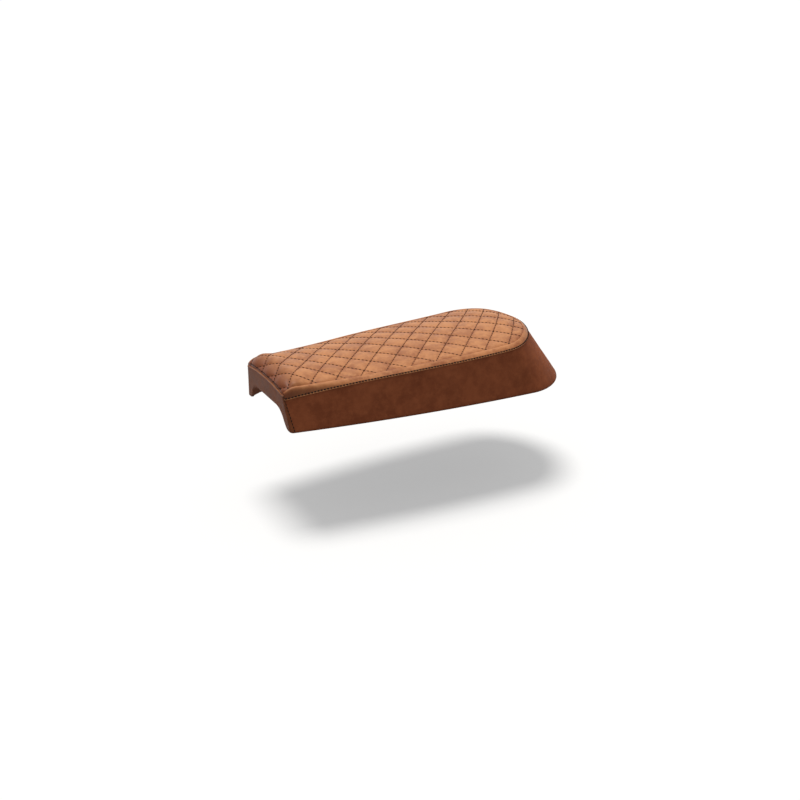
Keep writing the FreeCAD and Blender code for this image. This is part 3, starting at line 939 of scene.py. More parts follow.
@dataclass
class QuiltedTop:
    """Quilted panel over the wadding, with its sewn lines."""

    form: SeatForm
    diagonal: float = 50.8
    start: float = 24.6
    drift: float = 5.0
    drift_length: float = 110.0
    roll_squeeze: float = 0.74
    tail_pull: float = 13.0
    tail_pull_start: float = 385.0
    tail_pull_length: float = 95.0
    diamonds_ahead: float = 1.0
    diamonds_behind: float = 10.0
    diamonds_beside: float = 3.0
    faces_per_diamond: int = 14
    puff: float = 2.6
    front_puff: float = 6.5
    front_puff_length: float = 48.0
    plumpness: float = 0.55
    lump: float = 0.15
    lump_pitch: float = 45.0
    edge_slope: float = 9.0
    front_edge_slope: float = 4.0
    front_flat: float = 0.5
    front_rise: float = 6.0
    first_share: float = 0.8
    edge_inset: float = 1.2
    edge_turn: float = 1.0
    tuck: float = 3.2
    tuck_slope: float = 1.6
    tuck_depth: float = 2.6
    hem_depth: float = 4.0
    probe: float = 1.5
    held_width: float = 0.2
    held_height: float = 0.02
    # Painted shade: over the front roll, along the sewn lines and in the groove next to the border.
    front_shade_length: float = 44.0
    line_shade: float = 0.45
    groove_shade: float = 0.8
    shade_width: float = 1.5
    swell_frames: int = 12
    swell_pressure: float = 4.0
    swell_cap: float = 1.6
    smooth_angle: float = 60.0
    first_line: int = -5
    last_line: int = 15
    line_reach: float = 4.0
    line_points: int = 801
    least_points: int = 10
    line_overlap: float = 0.5
    line_setback: float = 2.0

    def station(self, along: np.ndarray) -> np.ndarray:
        """Station of a place in the quilting.

        Args:
            along: sewn lengths behind the first crossing.

        Returns:
            One station for each length.
        """
        pulled = np.clip((along - self.tail_pull_start) / self.tail_pull_length, 0.0, None) ** 2
        behind = self.start + along - self.drift * ease(along / self.drift_length) - self.tail_pull * pulled
        return np.where(along < 0.0, self.start + along * self.roll_squeeze, behind)

    def base(self, along: np.ndarray, y: np.ndarray) -> np.ndarray:
        """Points of the sewn surface, without puffs, turned down behind the front panel at its edge.

        Args:
            along: sewn lengths behind the first crossing.
            y: sideways distances.

        Returns:
            Points in millimetres, one row each.
        """
        edge = -self.form.front_overhang + self.edge_inset
        s = self.station(along)
        over = np.clip(edge - s, 0.0, None)
        s = np.maximum(s, edge) + np.minimum(over, self.edge_turn)
        z = self.form.cushion_top(np.minimum(s, self.form.seam_tail_station), y)
        inside = self.form.inside_border(s, y) + self.tuck
        z = z - self.tuck_depth * (1.0 - ease(inside / (self.tuck_slope * self.tuck)))
        return self.form.at(s, y, z - over)

    def normals(self, along: np.ndarray, y: np.ndarray) -> np.ndarray:
        """Outward directions of the sewn surface.

        Args:
            along: sewn lengths behind the first crossing.
            y: sideways distances.

        Returns:
            Unit vectors, one row each.
        """
        ahead = self.base(along - self.probe, y) - self.base(along + self.probe, y)
        left = self.base(along, y + self.probe) - self.base(along, y - self.probe)
        up = np.cross(ahead, left)
        return up / np.linalg.norm(up, axis=-1, keepdims=True)

    def pillow(self, along: np.ndarray, y: np.ndarray) -> np.ndarray:
        """Height of the wadding over the stitches.

        Args:
            along: sewn lengths behind the first crossing.
            y: sideways distances.

        Returns:
            Shares from 0 at the stitches to 1 in the middle of a diamond.
        """
        first = np.abs(np.sin(math.pi * (along + y) / self.diagonal))
        second = np.abs(np.sin(math.pi * (along - y) / self.diagonal))
        s = self.station(along)
        slope = self.edge_slope + (self.front_edge_slope - self.edge_slope) * self.form.swell(s)
        inwards = ease(self.form.inside_border(s, y) / slope)
        backwards = ease((s + self.form.front_overhang + self.front_flat) / self.front_rise)
        return (first * second) ** self.plumpness * inwards * backwards

    def line_distance(self, along: np.ndarray, y: np.ndarray) -> np.ndarray:
        """Distance to the nearest sewn line, measured along the seat."""
        turns = np.stack([along + y, along - y]) / self.diagonal
        return np.min(np.abs(turns - np.round(turns)), axis=0) * self.diagonal

    def shade(self, along: np.ndarray, y: np.ndarray) -> np.ndarray:
        """Painted shade on the leather: over the front roll, along the sewn lines and in the groove.

        Args:
            along: sewn lengths behind the first crossing.
            y: sideways distances.

        Returns:
            Shares from 0 to 1.
        """
        s = self.station(along)
        # Painted shade over the front roll, fading out behind it.
        front_shade = 1.0 - ease((s + self.form.front_overhang) / self.front_shade_length)
        lines = self.line_shade * np.exp(-(self.line_distance(along, y) / self.shade_width) ** 2)
        groove = self.groove_shade * np.exp(-(self.form.inside_border(s, y) / self.shade_width) ** 2)
        return np.maximum.reduce([front_shade, lines, groove])

    def cut(self) -> bpy.types.Object:
        """Cuts the flat panel from a grid whose edges run along the sewn lines.

        Returns:
            The panel, with sewn lengths as its x and sideways distances as its y.
        """
        low = -self.diamonds_ahead - self.diamonds_beside
        span = self.diamonds_ahead + self.diamonds_behind + 2.0 * self.diamonds_beside

        def lattice(u: np.ndarray, v: np.ndarray) -> np.ndarray:
            """Flat places of the grid's corners.

            Args:
                u: share of the way along the first set of lines.
                v: share of the way along the second set.

            Returns:
                Points in millimetres, one row each.
            """
            first = low + span * u
            second = low + span * v
            flat = np.stack([first + second, first - second, np.zeros_like(u)], axis=-1)
            return flat * self.diagonal / 2.0

        count = int(span * self.faces_per_diamond)
        piece = grid_piece("quilted_top", count, count, lattice)
        along, y, _ = read_points(piece).T / MM
        s = self.station(along)
        keep = self.form.inside_border(s, y) > -self.tuck
        keep &= (s > -self.form.front_overhang - self.hem_depth) & (s < self.form.seam_tail_station)
        self.trim(piece, keep)
        return piece

    def build(self) -> bpy.types.Object:
        """Sews, fills and closes the quilted panel.

        Returns:
            The finished panel.
        """
        piece = self.cut()
        along, y, _ = read_points(piece).T / MM
        pillow = self.pillow(along, y)
        base = self.base(along, y)
        lumps = 1.0 + self.lump * ripple(base, self.lump_pitch, octaves=2, seed=3.0)
        rolled = ease(1.0 - (self.station(along) + self.form.front_overhang) / self.front_puff_length)
        height = self.puff + (self.front_puff - self.puff) * rolled
        raised = height * self.first_share * pillow * lumps
        write_points(piece, (base + self.normals(along, y) * raised[:, None]) * MM)
        # Painted highlight: the puffs are painted paler towards their middles.
        write_value(piece, "raised", pillow)
        # Painted shade over the front roll, along the sewn lines and in the groove.
        write_value(piece, "fold", self.shade(along, y))
        face = self.diagonal / 2.0 / self.faces_per_diamond
        sewn = (self.line_distance(along, y) < self.held_width * face) | (pillow < self.held_height)
        self.fill(piece, np.flatnonzero(sewn))
        self.finish(piece)
        return piece

    @staticmethod
    def trim(piece: bpy.types.Object, keep: np.ndarray) -> None:
        """Deletes the vertices outside the panel.

        Args:
            piece: the flat grid.
            keep: True for each vertex that stays.
        """
        pick(piece)
        bpy.ops.object.mode_set(mode="EDIT")
        bpy.ops.mesh.select_mode(type="VERT")
        bpy.ops.mesh.select_all(action="DESELECT")
        bpy.ops.object.mode_set(mode="OBJECT")
        piece.data.vertices.foreach_set("select", ~keep)
        bpy.ops.object.mode_set(mode="EDIT")
        bpy.ops.mesh.delete(type="VERT")
        bpy.ops.object.mode_set(mode="OBJECT")

    def fill(self, piece: bpy.types.Object, sewn: np.ndarray) -> None:
        """Swells the panel between its stitches as cloth, no further than the cap.

        Args:
            piece: the panel.
            sewn: numbers of the vertices that the stitches hold down.
        """
        before = read_points(piece)
        group = piece.vertex_groups.new(name="sewn")
        group.add([int(i) for i in sewn], 1.0, "REPLACE")
        cloth = piece.modifiers.new("wadding", "CLOTH")
        cloth.settings.quality = 4
        cloth.settings.mass = 0.25
        cloth.settings.tension_stiffness = 12.0
        cloth.settings.compression_stiffness = 12.0
        cloth.settings.bending_stiffness = 0.4
        cloth.settings.vertex_group_mass = "sewn"
        cloth.settings.use_pressure = True
        cloth.settings.uniform_pressure_force = self.swell_pressure
        cloth.settings.effector_weights.gravity = 0.0
        cloth.collision_settings.use_collision = False
        cloth.point_cache.frame_end = self.swell_frames
        for number in range(1, self.swell_frames + 1):
            bpy.context.scene.frame_set(number)
        bpy.context.view_layer.objects.active = piece
        bpy.ops.object.modifier_apply(modifier=cloth.name)
        piece.vertex_groups.clear()
        moved = read_points(piece) - before
        far = np.linalg.norm(moved, axis=1)
        cap = self.swell_cap * MM
        log.info("wadding swelled by %.2f mm at most, %.2f mm in the mean", far.max() / MM, far.mean() / MM)
        share = cap * np.tanh(far / cap) / np.maximum(far, 1e-9)
        write_points(piece, before + moved * share[:, None])

    def finish(self, piece: bpy.types.Object) -> None:
        """Gives the panel its edge and underside, a finer surface and smooth shading.

        Args:
            piece: the sewn panel.
        """
        pick(piece)
        finer = piece.modifiers.new("finer", "SUBSURF")
        finer.levels = 1
        finer.render_levels = 1
        bpy.ops.object.modifier_apply(modifier=finer.name)
        bpy.ops.object.mode_set(mode="EDIT")
        bpy.ops.mesh.select_mode(type="EDGE")
        bpy.ops.mesh.select_all(action="DESELECT")
        bpy.ops.mesh.select_non_manifold(extend=False)
        drop = (0.0, 0.0, -self.hem_depth * MM)
        bpy.ops.mesh.extrude_region_move(TRANSFORM_OT_translate={"value": drop})
        bpy.ops.mesh.edge_face_add()
        face_outwards()
        bpy.ops.mesh.select_mode(type="VERT")
        bpy.ops.object.mode_set(mode="OBJECT")
        bpy.ops.object.shade_smooth_by_angle(angle=math.radians(self.smooth_angle))
        dress(piece, TOP_LEATHER)
        settle(piece, "quilted_leather", "top_panel")

    def sewn_lines(self) -> Pairs:
        """The quilting's stitch lines.

        Returns:
            For each line, a fine row of sewn lengths and one of sideways distances.
        """
        reach = self.line_reach * self.diagonal
        across = np.linspace(-reach, reach, self.line_points)
        for sign in (1.0, -1.0):
            for number in range(self.first_line, self.last_line + 1):
                along = number * self.diagonal - sign * across
                s = self.station(along)
                held = self.form.inside_border(s, across) > -self.line_overlap
                held &= s > -self.form.front_overhang + self.line_setback
                held &= s < self.form.seam_tail_station
                if held.sum() > self.least_points:
                    yield along[held], across[held]


@dataclass
class BorderRoll:
    """Plain padded roll between the quilting and the side seam.

    The section runs over the roll, down inside it and back underneath, by shares of the way round.
    """

    form: SeatForm
    dip: float = 2.2
    lift: float = 0.7
    bulge: float = 0.5
    square_length: float = 45.0
    over_end: float = 0.8
    down_end: float = 0.9
    turn_share: float = 0.1
    crest: float = 0.92
    tip_start: float = 0.86
    tip_share: float = 0.14
    tip_reach: float = 0.9
    overlap: float = 0.8
    under_inset: float = 2.5
    under_lift: float = 0.4
    least_rise: float = 3.0
    across_power: float = 0.6
    across_power_front: float = 0.7
    rise_power: float = 1.2
    rise_power_front: float = 0.45
    # Painted shade on the roll's outer face, fuller at the front, and in the groove; a painted highlight
    # along the top.
    seam_shade: float = 0.25
    seam_shade_front: float = 0.6
    seam_shade_width: float = 0.12
    seam_shade_width_front: float = 0.48
    groove_shade: float = 0.85
    groove_place: float = 0.77
    groove_width: float = 0.05
    pale: float = 0.6
    pale_place: float = 0.5
    pale_width: float = 0.14
    columns: int = 560
    rows: int = 30

    def section(self, w: np.ndarray, v: np.ndarray) -> np.ndarray:
        """Points round the roll's section: over from the seam, down inside, then back underneath.

        Args:
            w: signed places along the outline.
            v: shares of the way round the section.

        Returns:
            Points in millimetres, one row each.
        """
        over = np.clip(v / self.over_end, 0.0, 1.0)
        angle = np.clip(over / self.crest, 0.0, 1.0) * math.pi / 2.0
        tip = ease((over - self.tip_start) / self.tip_share)
        down = np.clip((v - self.over_end) / self.turn_share, 0.0, 1.0)
        back = np.clip((v - self.down_end) / self.turn_share, 0.0, 1.0)
        outer_s, outer_y, foot = self.form.seam_line(w)
        inner_s, inner_y, _ = self.form.seam_line(w, self.form.border)
        free = ease((outer_s + self.form.front_overhang) / self.square_length)
        deep_s = (inner_s - outer_s) * free
        deep_y = inner_y - outer_y
        width = self.form.border_width(outer_s) + self.overlap
        full = self.form.swell(outer_s)
        curve = (1.0 - np.cos(angle)) ** (self.across_power + self.across_power_front * full)
        across = width * curve + self.tip_reach * tip
        share = (across * (1.0 - back) + self.under_inset * back) / self.form.border
        groove = width / self.form.border
        groove_s = np.minimum(outer_s + deep_s * groove, self.form.seam_tail_station - self.form.border)
        top = self.form.cushion_top(groove_s, outer_y + deep_y * groove)
        rise = np.maximum(top + self.lift - foot, self.least_rise)
        arc = np.sin(angle) ** (self.rise_power - self.rise_power_front * full)
        z = foot + rise * arc + self.bulge * np.sin(2.0 * angle) - self.dip * tip
        low = foot + self.under_lift
        return self.form.at(outer_s + deep_s * share, outer_y + deep_y * share, z * (1.0 - down) + low * down)

    def build(self) -> bpy.types.Object:
        """Sweeps the section along the seam, from one front corner round the tail to the other.

        Returns:
            The finished roll.
        """
        places = self.form.round_places(1.0, self.columns)

        def place(u: np.ndarray) -> np.ndarray:
            """Places along the outline of the grid's columns."""
            return places[np.round(u * self.columns).astype(int)]

        def shape(u: np.ndarray, v: np.ndarray) -> np.ndarray:
            """Points of the roll."""
            return self.section(place(u), v)

        def fold(u: np.ndarray, v: np.ndarray) -> np.ndarray:
            """Painted shade at the seam and in the groove, and over the whole outer face at the front.

            Args:
                u: share of the way along.
                v: share of the way round.

            Returns:
                Shares from 0 to 1.
            """
            s, _, _ = self.form.seam_line(place(u))
            full = self.form.swell(s)
            reach = self.seam_shade_width + self.seam_shade_width_front * full
            turned = (self.seam_shade + self.seam_shade_front * full) * np.exp(-(v / reach) ** 4)
            groove = self.groove_shade * np.exp(-((v - self.groove_place) / self.groove_width) ** 2)
            return np.maximum(turned, groove)

        def raised(u: np.ndarray, v: np.ndarray) -> np.ndarray:
            """Painted highlight along the top."""
            return self.pale * np.exp(-((v - self.pale_place) / self.pale_width) ** 2)

        piece = grid_piece("border_roll", self.columns, self.rows, shape, fold=fold, raised=raised)
        close_up(piece)
        dress(piece, TOP_LEATHER)
        settle(piece, "quilted_leather")
        return piece


@dataclass
class SideBand:
    """Leather band round the flanks and the tail, folded at the seam and turned under at the rim."""

    form: SeatForm
    leather: float = 1.5
    pan_wall: float = 3.0
    hem: float = 13.0
    lip: float = 0.3
    lip_height: float = 2.6
    rim_round: float = 1.4
    fold_radius: float = 0.8
    fold_drop: float = 1.2
    tail_zone: float = 180.0
    tail_lean: float = 0.6
    wave_pitch: float = 55.0
    wave_depth: float = 0.45
    wave_upright: float = 0.45
    wave_low: float = 6.0
    wave_low_fade: float = 12.0
    wave_high: float = 90.0
    wave_high_fade: float = 20.0
    pale: float = 0.35
    pale_swing: float = 0.5
    # Painted shade: darker towards the rim.
    rim_shade: float = 0.5
    rim_shade_height: float = 5.0
    columns: int = 520
    wall_rows: int = 30

    def section(self) -> np.ndarray:
        """Corners of the section: from the seam down the outside, round the hem and up the inside.

        Returns:
            Rows of inset, share of the seam's height and added height.
        """
        inner = self.leather + self.pan_wall
        hem = inner + self.leather
        tucked = (1.4, 1.0, 0.1)
        rows = [tucked, (0.6, 1.0, 0.0), (-0.2, 1.0, -0.5), (-self.lip, 1.0, -1.2),
                (-self.lip * 0.8, 1.0, -2.0), (0.0, 1.0, -self.lip_height)]
        for i in range(1, self.wall_rows):
            share = i / self.wall_rows
            rows.append((0.0, 1.0 - share, -self.lip_height * (1.0 - share) + self.rim_round * share))
        rows += [(0.0, 0.0, self.rim_round), (0.25, 0.0, 0.6), (0.8, 0.0, 0.12), (1.6, 0.0, 0.0),
                 (inner, 0.0, 0.0), (inner + 0.9, 0.0, 0.2), (hem, 0.0, 1.0), (hem, 0.0, self.hem),
                 (inner, 0.0, self.hem), (inner, 0.0, self.leather), (self.leather, 0.0, self.leather),
                 (self.leather, 1.0, -1.0), tucked]
        return np.array(rows)

    def build(self) -> bpy.types.Object:
        """Sweeps the section round the seat.

        Returns:
            The finished band.
        """
        rows = self.section()
        heads = rows[:, 1] * self.form.seam_heights[0] + rows[:, 2]
        places = np.array([self.form.round_places(self.form.corner_share(z), self.columns) for z in heads])

        def shape(u: np.ndarray, v: np.ndarray) -> np.ndarray:
            """Points of the band.

            Args:
                u: share of the way round the seat.
                v: share of the way along the section.

            Returns:
                Points in millimetres, one row each.
            """
            number = np.round(v * (len(rows) - 1)).astype(int)
            inset, share, added = rows[number].T
            w = places[number, np.round(u * self.columns).astype(int)]
            _, _, seam = self.form.seam_line(w)
            return self.form.wall_points(w, share * seam + added, inset)

        piece = grid_piece("side_cover", self.columns, len(rows) - 1, shape)
        self.crumple(piece)
        close_up(piece)
        dress(piece, SIDE_LEATHER)
        settle(piece, "side_leather", "side_band")
        return piece

    def fold(self) -> bpy.types.Object:
        """Thin edge of the cover folded out under the side seam.

        Returns:
            The finished edge.
        """
        s, y, z = self.form.seam_line(self.form.round_places(1.0, self.columns))
        middle = self.form.at(s, y, z - self.fold_drop)
        # Painted highlight over the whole fold, with no painted shade.
        return tube("seam_fold", middle, self.fold_radius, raised=1.0, fold=0.0)

    def crumple(self, piece: bpy.types.Object) -> None:
        """Gives the stretched wall its slow waves, and stores paler patches that follow them and painted
        shade near the rim.

        Args:
            piece: the band.
        """
        points = read_points(piece) / MM
        height = points[:, 2]
        outward = points * np.array([1.0, 1.0, 0.0])
        outward[:, 0] = np.where(np.abs(points[:, 0]) > self.tail_zone, points[:, 0], 0.0) * self.tail_lean
        outward /= np.maximum(np.linalg.norm(outward, axis=1, keepdims=True), 1e-6)
        free = ease((height - self.wave_low) / self.wave_low_fade)
        free = free * ease((self.wave_high - height) / self.wave_high_fade)
        wave = ripple(points * np.array([1.0, 1.0, self.wave_upright]), self.wave_pitch, octaves=3, seed=1.0)
        write_points(piece, (points + outward * (self.wave_depth * wave * free)[:, None]) * MM)
        write_value(piece, "raised", np.clip(self.pale + self.pale_swing * wave, 0.0, 1.0) * free)
        # Painted shade: darker towards the rim.
        write_value(piece, "fold", np.clip(1.0 - height / self.rim_shade_height, 0.0, 1.0) * self.rim_shade)


@dataclass
class FrontPanel:
    """Leather front with its arch, wrapped round the corners, and the rolled welt along its seam."""

    form: SeatForm
    leather: float = 1.5
    lining: float = 5.0
    arch_lining: float = 18.0
    lining_fade: float = 6.0
    foot_round: float = 11.0
    foot_turn: float = 1.6
    arch_height: float = 33.0
    arch_half_foot: float = 78.5
    arch_half_top: float = 61.0
    arch_round: float = 30.0
    low_rounds: int = 12
    high_rounds: int = 4
    wave_pitch: float = 40.0
    pale: float = 0.4
    pale_swing: float = 0.5
    # Painted shade: darker towards the lower edge.
    rim_shade: float = 0.5
    rim_shade_height: float = 4.0
    columns: int = 168
    wall_rows: int = 22
    welt_radius: float = 1.5
    welt_inset: float = 0.7
    welt_lift: float = 0.2
    welt_points: int = 121

    def lower_edge(self, y: np.ndarray) -> np.ndarray:
        """Height of the arch over the rim's plane.

        Args:
            y: sideways distances.

        Returns:
            One height for each distance, 0 at the feet.
        """
        slope = math.atan2(self.arch_height, self.arch_half_foot - self.arch_half_top)
        start = self.arch_half_top - self.arch_round * math.tan(slope / 2.0)
        end = start + self.arch_round * math.sin(slope)
        drop = self.arch_height - self.arch_round
        y = np.abs(y)
        curve = drop + np.sqrt(np.clip(self.arch_round ** 2 - (y - start) ** 2, 0.0, None))
        straight = (self.arch_half_foot - y) * math.tan(slope)
        soft = np.clip(straight + self.foot_round, 0.0, None) ** 2 / (4.0 * self.foot_round)
        flank = np.where(straight > self.foot_round, straight, soft)
        return np.select([y < start, y < end], [np.full_like(y, self.arch_height), curve], flank)

    def edges(self, w: np.ndarray) -> tuple[np.ndarray, np.ndarray]:
        """Heights of the panel's edges on the leaning walls, found by going back and forth.

        Args:
            w: signed places along the outline.

        Returns:
            Heights of the lower edge and of the upper one.
        """
        low = np.zeros_like(w)
        for _ in range(self.low_rounds):
            _, y = self.form.wall(w, low)
            low = (low + self.lower_edge(y)) / 2.0
        high = self.form.front_seam(np.zeros_like(w))
        for _ in range(self.high_rounds):
            _, y = self.form.wall(w, high)
            high = self.form.front_seam(y)
        return low, high

    def section(self) -> np.ndarray:
        """Corners of the section: down the outside, in under the lower edge and up the inside.

        Returns:
            Rows of inset, share between the edges and added height.
        """
        head = (self.leather, 1.0, -0.2)
        rows = [head, (0.5, 1.0, 0.1), (0.0, 1.0, -0.4)]
        for i in range(1, self.wall_rows):
            rows.append((0.0, 1.0 - i / self.wall_rows, self.foot_turn * i / self.wall_rows))
        rows += [(0.0, 0.0, 1.5), (0.25, 0.0, 0.6), (0.9, 0.0, 0.12), (1.8, 0.0, 0.0),
                 (self.lining, 0.0, 0.0), (self.lining, 0.0, self.leather),
                 (self.leather, 0.0, self.leather), head]
        return np.array(rows)

    def turned_in(self, points: np.ndarray, inset: np.ndarray) -> np.ndarray:
        """Draws the turned-in edge deeper along the arch than at the feet.

        Args:
            points: places of the panel in millimetres, one row each.
            inset: their insets.

        Returns:
            The moved points.
        """
        arched = ease((self.arch_half_foot - np.abs(points[:, 1])) / self.lining_fade)
        depth = (self.arch_lining - self.lining) * arched
        deeper = points.copy()
        deeper[:, 0] -= np.where(inset == self.lining, depth, 0.0)
        return deeper

    def build(self) -> bpy.types.Object:
        """Lays the panel over the front.

        Returns:
            The finished panel.
        """
        across = np.linspace(-1.0, 1.0, self.columns + 1)
        low, _ = self.edges(across * self.form.corner_place(0.0))
        _, high = self.edges(across * self.form.corner_place(1.0))
        rows = self.section()
        heads = rows[:, 1] * high[0] + rows[:, 2]
        ends = np.array([self.form.corner_place(self.form.corner_share(z)) for z in heads])

        def shape(u: np.ndarray, v: np.ndarray) -> np.ndarray:
            """Points of the panel.

            Args:
                u: share of the way across the front.
                v: share of the way along the section.

            Returns:
                Points in millimetres, one row each.
            """
            column = np.round(u * self.columns).astype(int)
            number = np.round(v * (len(rows) - 1)).astype(int)
            inset, share, added = rows[number].T
            z = low[column] + (high - low)[column] * share + added
            return self.turned_in(self.form.wall_points(across[column] * ends[number], z, inset), inset)

        piece = grid_piece("front_cover", self.columns, len(rows) - 1, shape)
        points = read_points(piece) / MM
        wave = ripple(points, self.wave_pitch, octaves=3, seed=5.0)
        rim = np.clip(1.0 - points[:, 2] / self.rim_shade_height, 0.0, 1.0)
        write_value(piece, "raised", np.clip(self.pale + self.pale_swing * wave, 0.0, 1.0))
        # Painted shade: darker towards the lower edge.
        write_value(piece, "fold", rim * self.rim_shade)
        close_up(piece)
        dress(piece, FRONT_LEATHER)
        settle(piece, "front_leather", "front_panel")
        return piece

    def welt(self) -> bpy.types.Object:
        """Rolled edge along the front seam.

        Returns:
            The finished welt.
        """
        corner = self.form.corner_place(1.0)
        places = np.linspace(-corner, corner, self.welt_points)
        _, high = self.edges(places)
        s, y = self.form.wall(places, high, self.welt_radius * self.welt_inset)
        middle = self.form.at(s, y, high + self.welt_lift)
        # Painted shade at half strength and a slight painted highlight over the whole welt.
        return tube("front_welt", middle, self.welt_radius, raised=0.2, fold=0.5)


@dataclass
class Stitching:
    """Dark thread: the quilting lines, the side seam, the front seam and the corner seams."""

    form: SeatForm
    top: QuiltedTop
    quilt_thickness: float = 0.66
    seam_thickness: float = 0.95
    quilt_pitch: float = 7.0
    quilt_length: float = 5.0
    seam_pitch: float = 5.6
    seam_length: float = 5.0
    sides: int = 6
    rings: int = 5
    end_taper: float = 0.45
    end_dip: float = 1.5
    proud: float = 0.5
    reach: float = 8.0
    seam_points: int = 3001
    seam_lift: float = 0.8
    seam_sink: float = 0.4
    corner_points: int = 120
    corner_start: float = 1.5
    corner_overrun: float = 5.0
    corner_facing: tuple[float, float, float] = (0.35, 0.9, 0.1)
    front_points: int = 400
    front_share: float = 0.84
    front_setback: float = 3.4
    front_facing: tuple[float, float, float] = (0.55, 0.0, 0.83)

    def stitch(self) -> tuple[np.ndarray, list[list[int]]]:
        """One stitch, a thread that dips at both ends, along x with unit length.

        Returns:
            Its points and its faces.
        """
        deselect()
        lying = (0.0, math.pi / 2.0, 0.0)
        bpy.ops.mesh.primitive_cylinder_add(vertices=self.sides, radius=1.0, depth=1.0, rotation=lying)
        model = bpy.context.object
        bpy.ops.object.transform_apply(location=False, rotation=True, scale=False)
        bpy.ops.object.mode_set(mode="EDIT")
        bpy.ops.mesh.select_all(action="DESELECT")
        bpy.ops.object.mode_set(mode="OBJECT")
        for edge in model.data.edges:
            ends = [model.data.vertices[i].co.x for i in edge.vertices]
            edge.select = abs(ends[0] - ends[1]) > 0.5
        bpy.ops.object.mode_set(mode="EDIT")
        bpy.ops.mesh.select_mode(type="EDGE")
        bpy.ops.mesh.subdivide(number_cuts=self.rings - 2)
        bpy.ops.object.mode_set(mode="OBJECT")
        points = read_points(model)
        faces = [list(face.vertices) for face in model.data.polygons]
        bpy.data.objects.remove(model)
        end = (np.abs(points[:, 0]) * 2.0) ** 4
        points[:, 1:] *= (1.0 - self.end_taper * end)[:, None]
        points[:, 2] -= self.end_dip * end
        return points, faces

    def sew(self, name: str, runs: Pairs, pitch: float, length: float, thickness: float) -> bpy.types.Object:
        """Lays stitches along runs of points.

        Args:
            name: name of the piece.
            runs: points of each line and the outward directions there, in millimetres.
            pitch: distance from one stitch to the next.
            length: length of one stitch.
            thickness: the thread's radius.

        Returns:
            The finished thread.
        """
        model, faces = self.stitch()
        ahead, beside, above = np.hsplit(model * np.array([length, thickness, thickness]), 3)
        above = above + self.proud * thickness
        all_points: list[np.ndarray] = []
        all_faces: list[list[int]] = []
        for points, up in runs:
            run = run_lengths(points)
            count = max(round(run[-1] / pitch), 1)
            for i in range(count):
                middle = (i + 0.5) * run[-1] / count
                back = between(run, points, middle - length / 2.0)
                chord = between(run, points, middle + length / 2.0) - back
                along = chord / max(np.linalg.norm(chord), 1e-9)
                out = between(run, up, middle)
                out = out - along * (out @ along)
                out /= np.linalg.norm(out)
                side = np.cross(out, along)
                offset = len(all_points) * len(model)
                all_points.append(between(run, points, middle) + ahead * along + beside * side + above * out)
                all_faces += [[offset + j for j in face] for face in faces]
        mesh = bpy.data.meshes.new(name)
        mesh.from_pydata((np.concatenate(all_points) * MM).tolist(), [], all_faces)
        piece = bpy.data.objects.new(name, mesh)
        bpy.context.scene.collection.objects.link(piece)
        pick(piece)
        bpy.ops.object.mode_set(mode="EDIT")
        face_outwards()
        bpy.ops.object.mode_set(mode="OBJECT")
        bpy.ops.object.shade_smooth()
        dress(piece, DARK_THREAD)
        settle(piece, None)
        return piece

    def laid_on(self, cover: bpy.types.Object, points: np.ndarray, up: np.ndarray) -> np.ndarray:
        """Points moved onto a cover's surface along their outward directions.

        Args:
            cover: the finished piece.
            points: places near its surface, in millimetres.
            up: outward directions there.

        Returns:
            The places on the surface.
        """
        tree = BVHTree.FromObject(cover, bpy.context.evaluated_depsgraph_get())
        laid = points.copy()
        for i, (point, out) in enumerate(zip(points, up)):
            above = Vector((point + out * self.reach) * MM)
            hit = tree.ray_cast(above, Vector(-out), 2.0 * self.reach * MM)[0]
            if hit is not None:
                laid[i] = np.array(hit) / MM
        return laid

    def quilt_runs(self) -> Pairs:
        """The quilting lines, on the panel's finished surface.

        Returns:
            Points and outward directions of each line.
        """
        cover = bpy.data.objects["quilted_top"]
        for along, y in self.top.sewn_lines():
            up = self.top.normals(along, y)
            yield self.laid_on(cover, self.top.base(along, y), up), up

    def seam_runs(self) -> Pairs:
        """The side seam, round the whole seat.

        Returns:
            Points and outward directions of its one line.
        """
        s, y, z = self.form.seam_line(self.form.round_places(1.0, self.seam_points - 1))
        points = self.form.at(s, y, z + self.seam_lift)
        out = self.outward(points)
        yield points - self.seam_sink * out, out

    @staticmethod
    def outward(points: np.ndarray) -> np.ndarray:
        """Level directions out of a line that goes round the seat.

        Args:
            points: places along the line, one row each.

        Returns:
            Unit vectors, one row each.
        """
        out = np.cross(np.gradient(points, axis=0), UP)
        out /= np.linalg.norm(out, axis=1, keepdims=True)
        flip = np.sign(np.sum(out * (points - points.mean(axis=0)), axis=1, keepdims=True))
        return out * np.where(flip == 0.0, 1.0, flip)

    def corner_runs(self) -> Pairs:
        """The two upright corner seams.

        Returns:
            Points and outward directions of each seam.
        """
        end = self.form.seam_heights[0] + self.corner_overrun
        z = np.linspace(self.corner_start, end, self.corner_points)
        places = np.array([self.form.corner_place(self.form.corner_share(height)) for height in z])
        for side in (1.0, -1.0):
            s, y = self.form.wall(side * places, z)
            out = np.array(self.corner_facing) * np.array([1.0, side, 1.0])
            yield self.form.at(s, y, z), np.tile(out / np.linalg.norm(out), (len(z), 1))

    def front_runs(self) -> Pairs:
        """The stitches behind the front welt.

        Returns:
            Points and outward directions of their one line.
        """
        y = np.linspace(-self.front_share, self.front_share, self.front_points) * self.form.seam_half_front
        s = np.full_like(y, -self.form.front_overhang + self.front_setback)
        z = self.form.cushion_top(s, y)
        up = np.tile(np.array(self.front_facing), (len(y), 1))
        yield self.laid_on(bpy.data.objects["quilted_top"], self.form.at(s, y, z), up), up

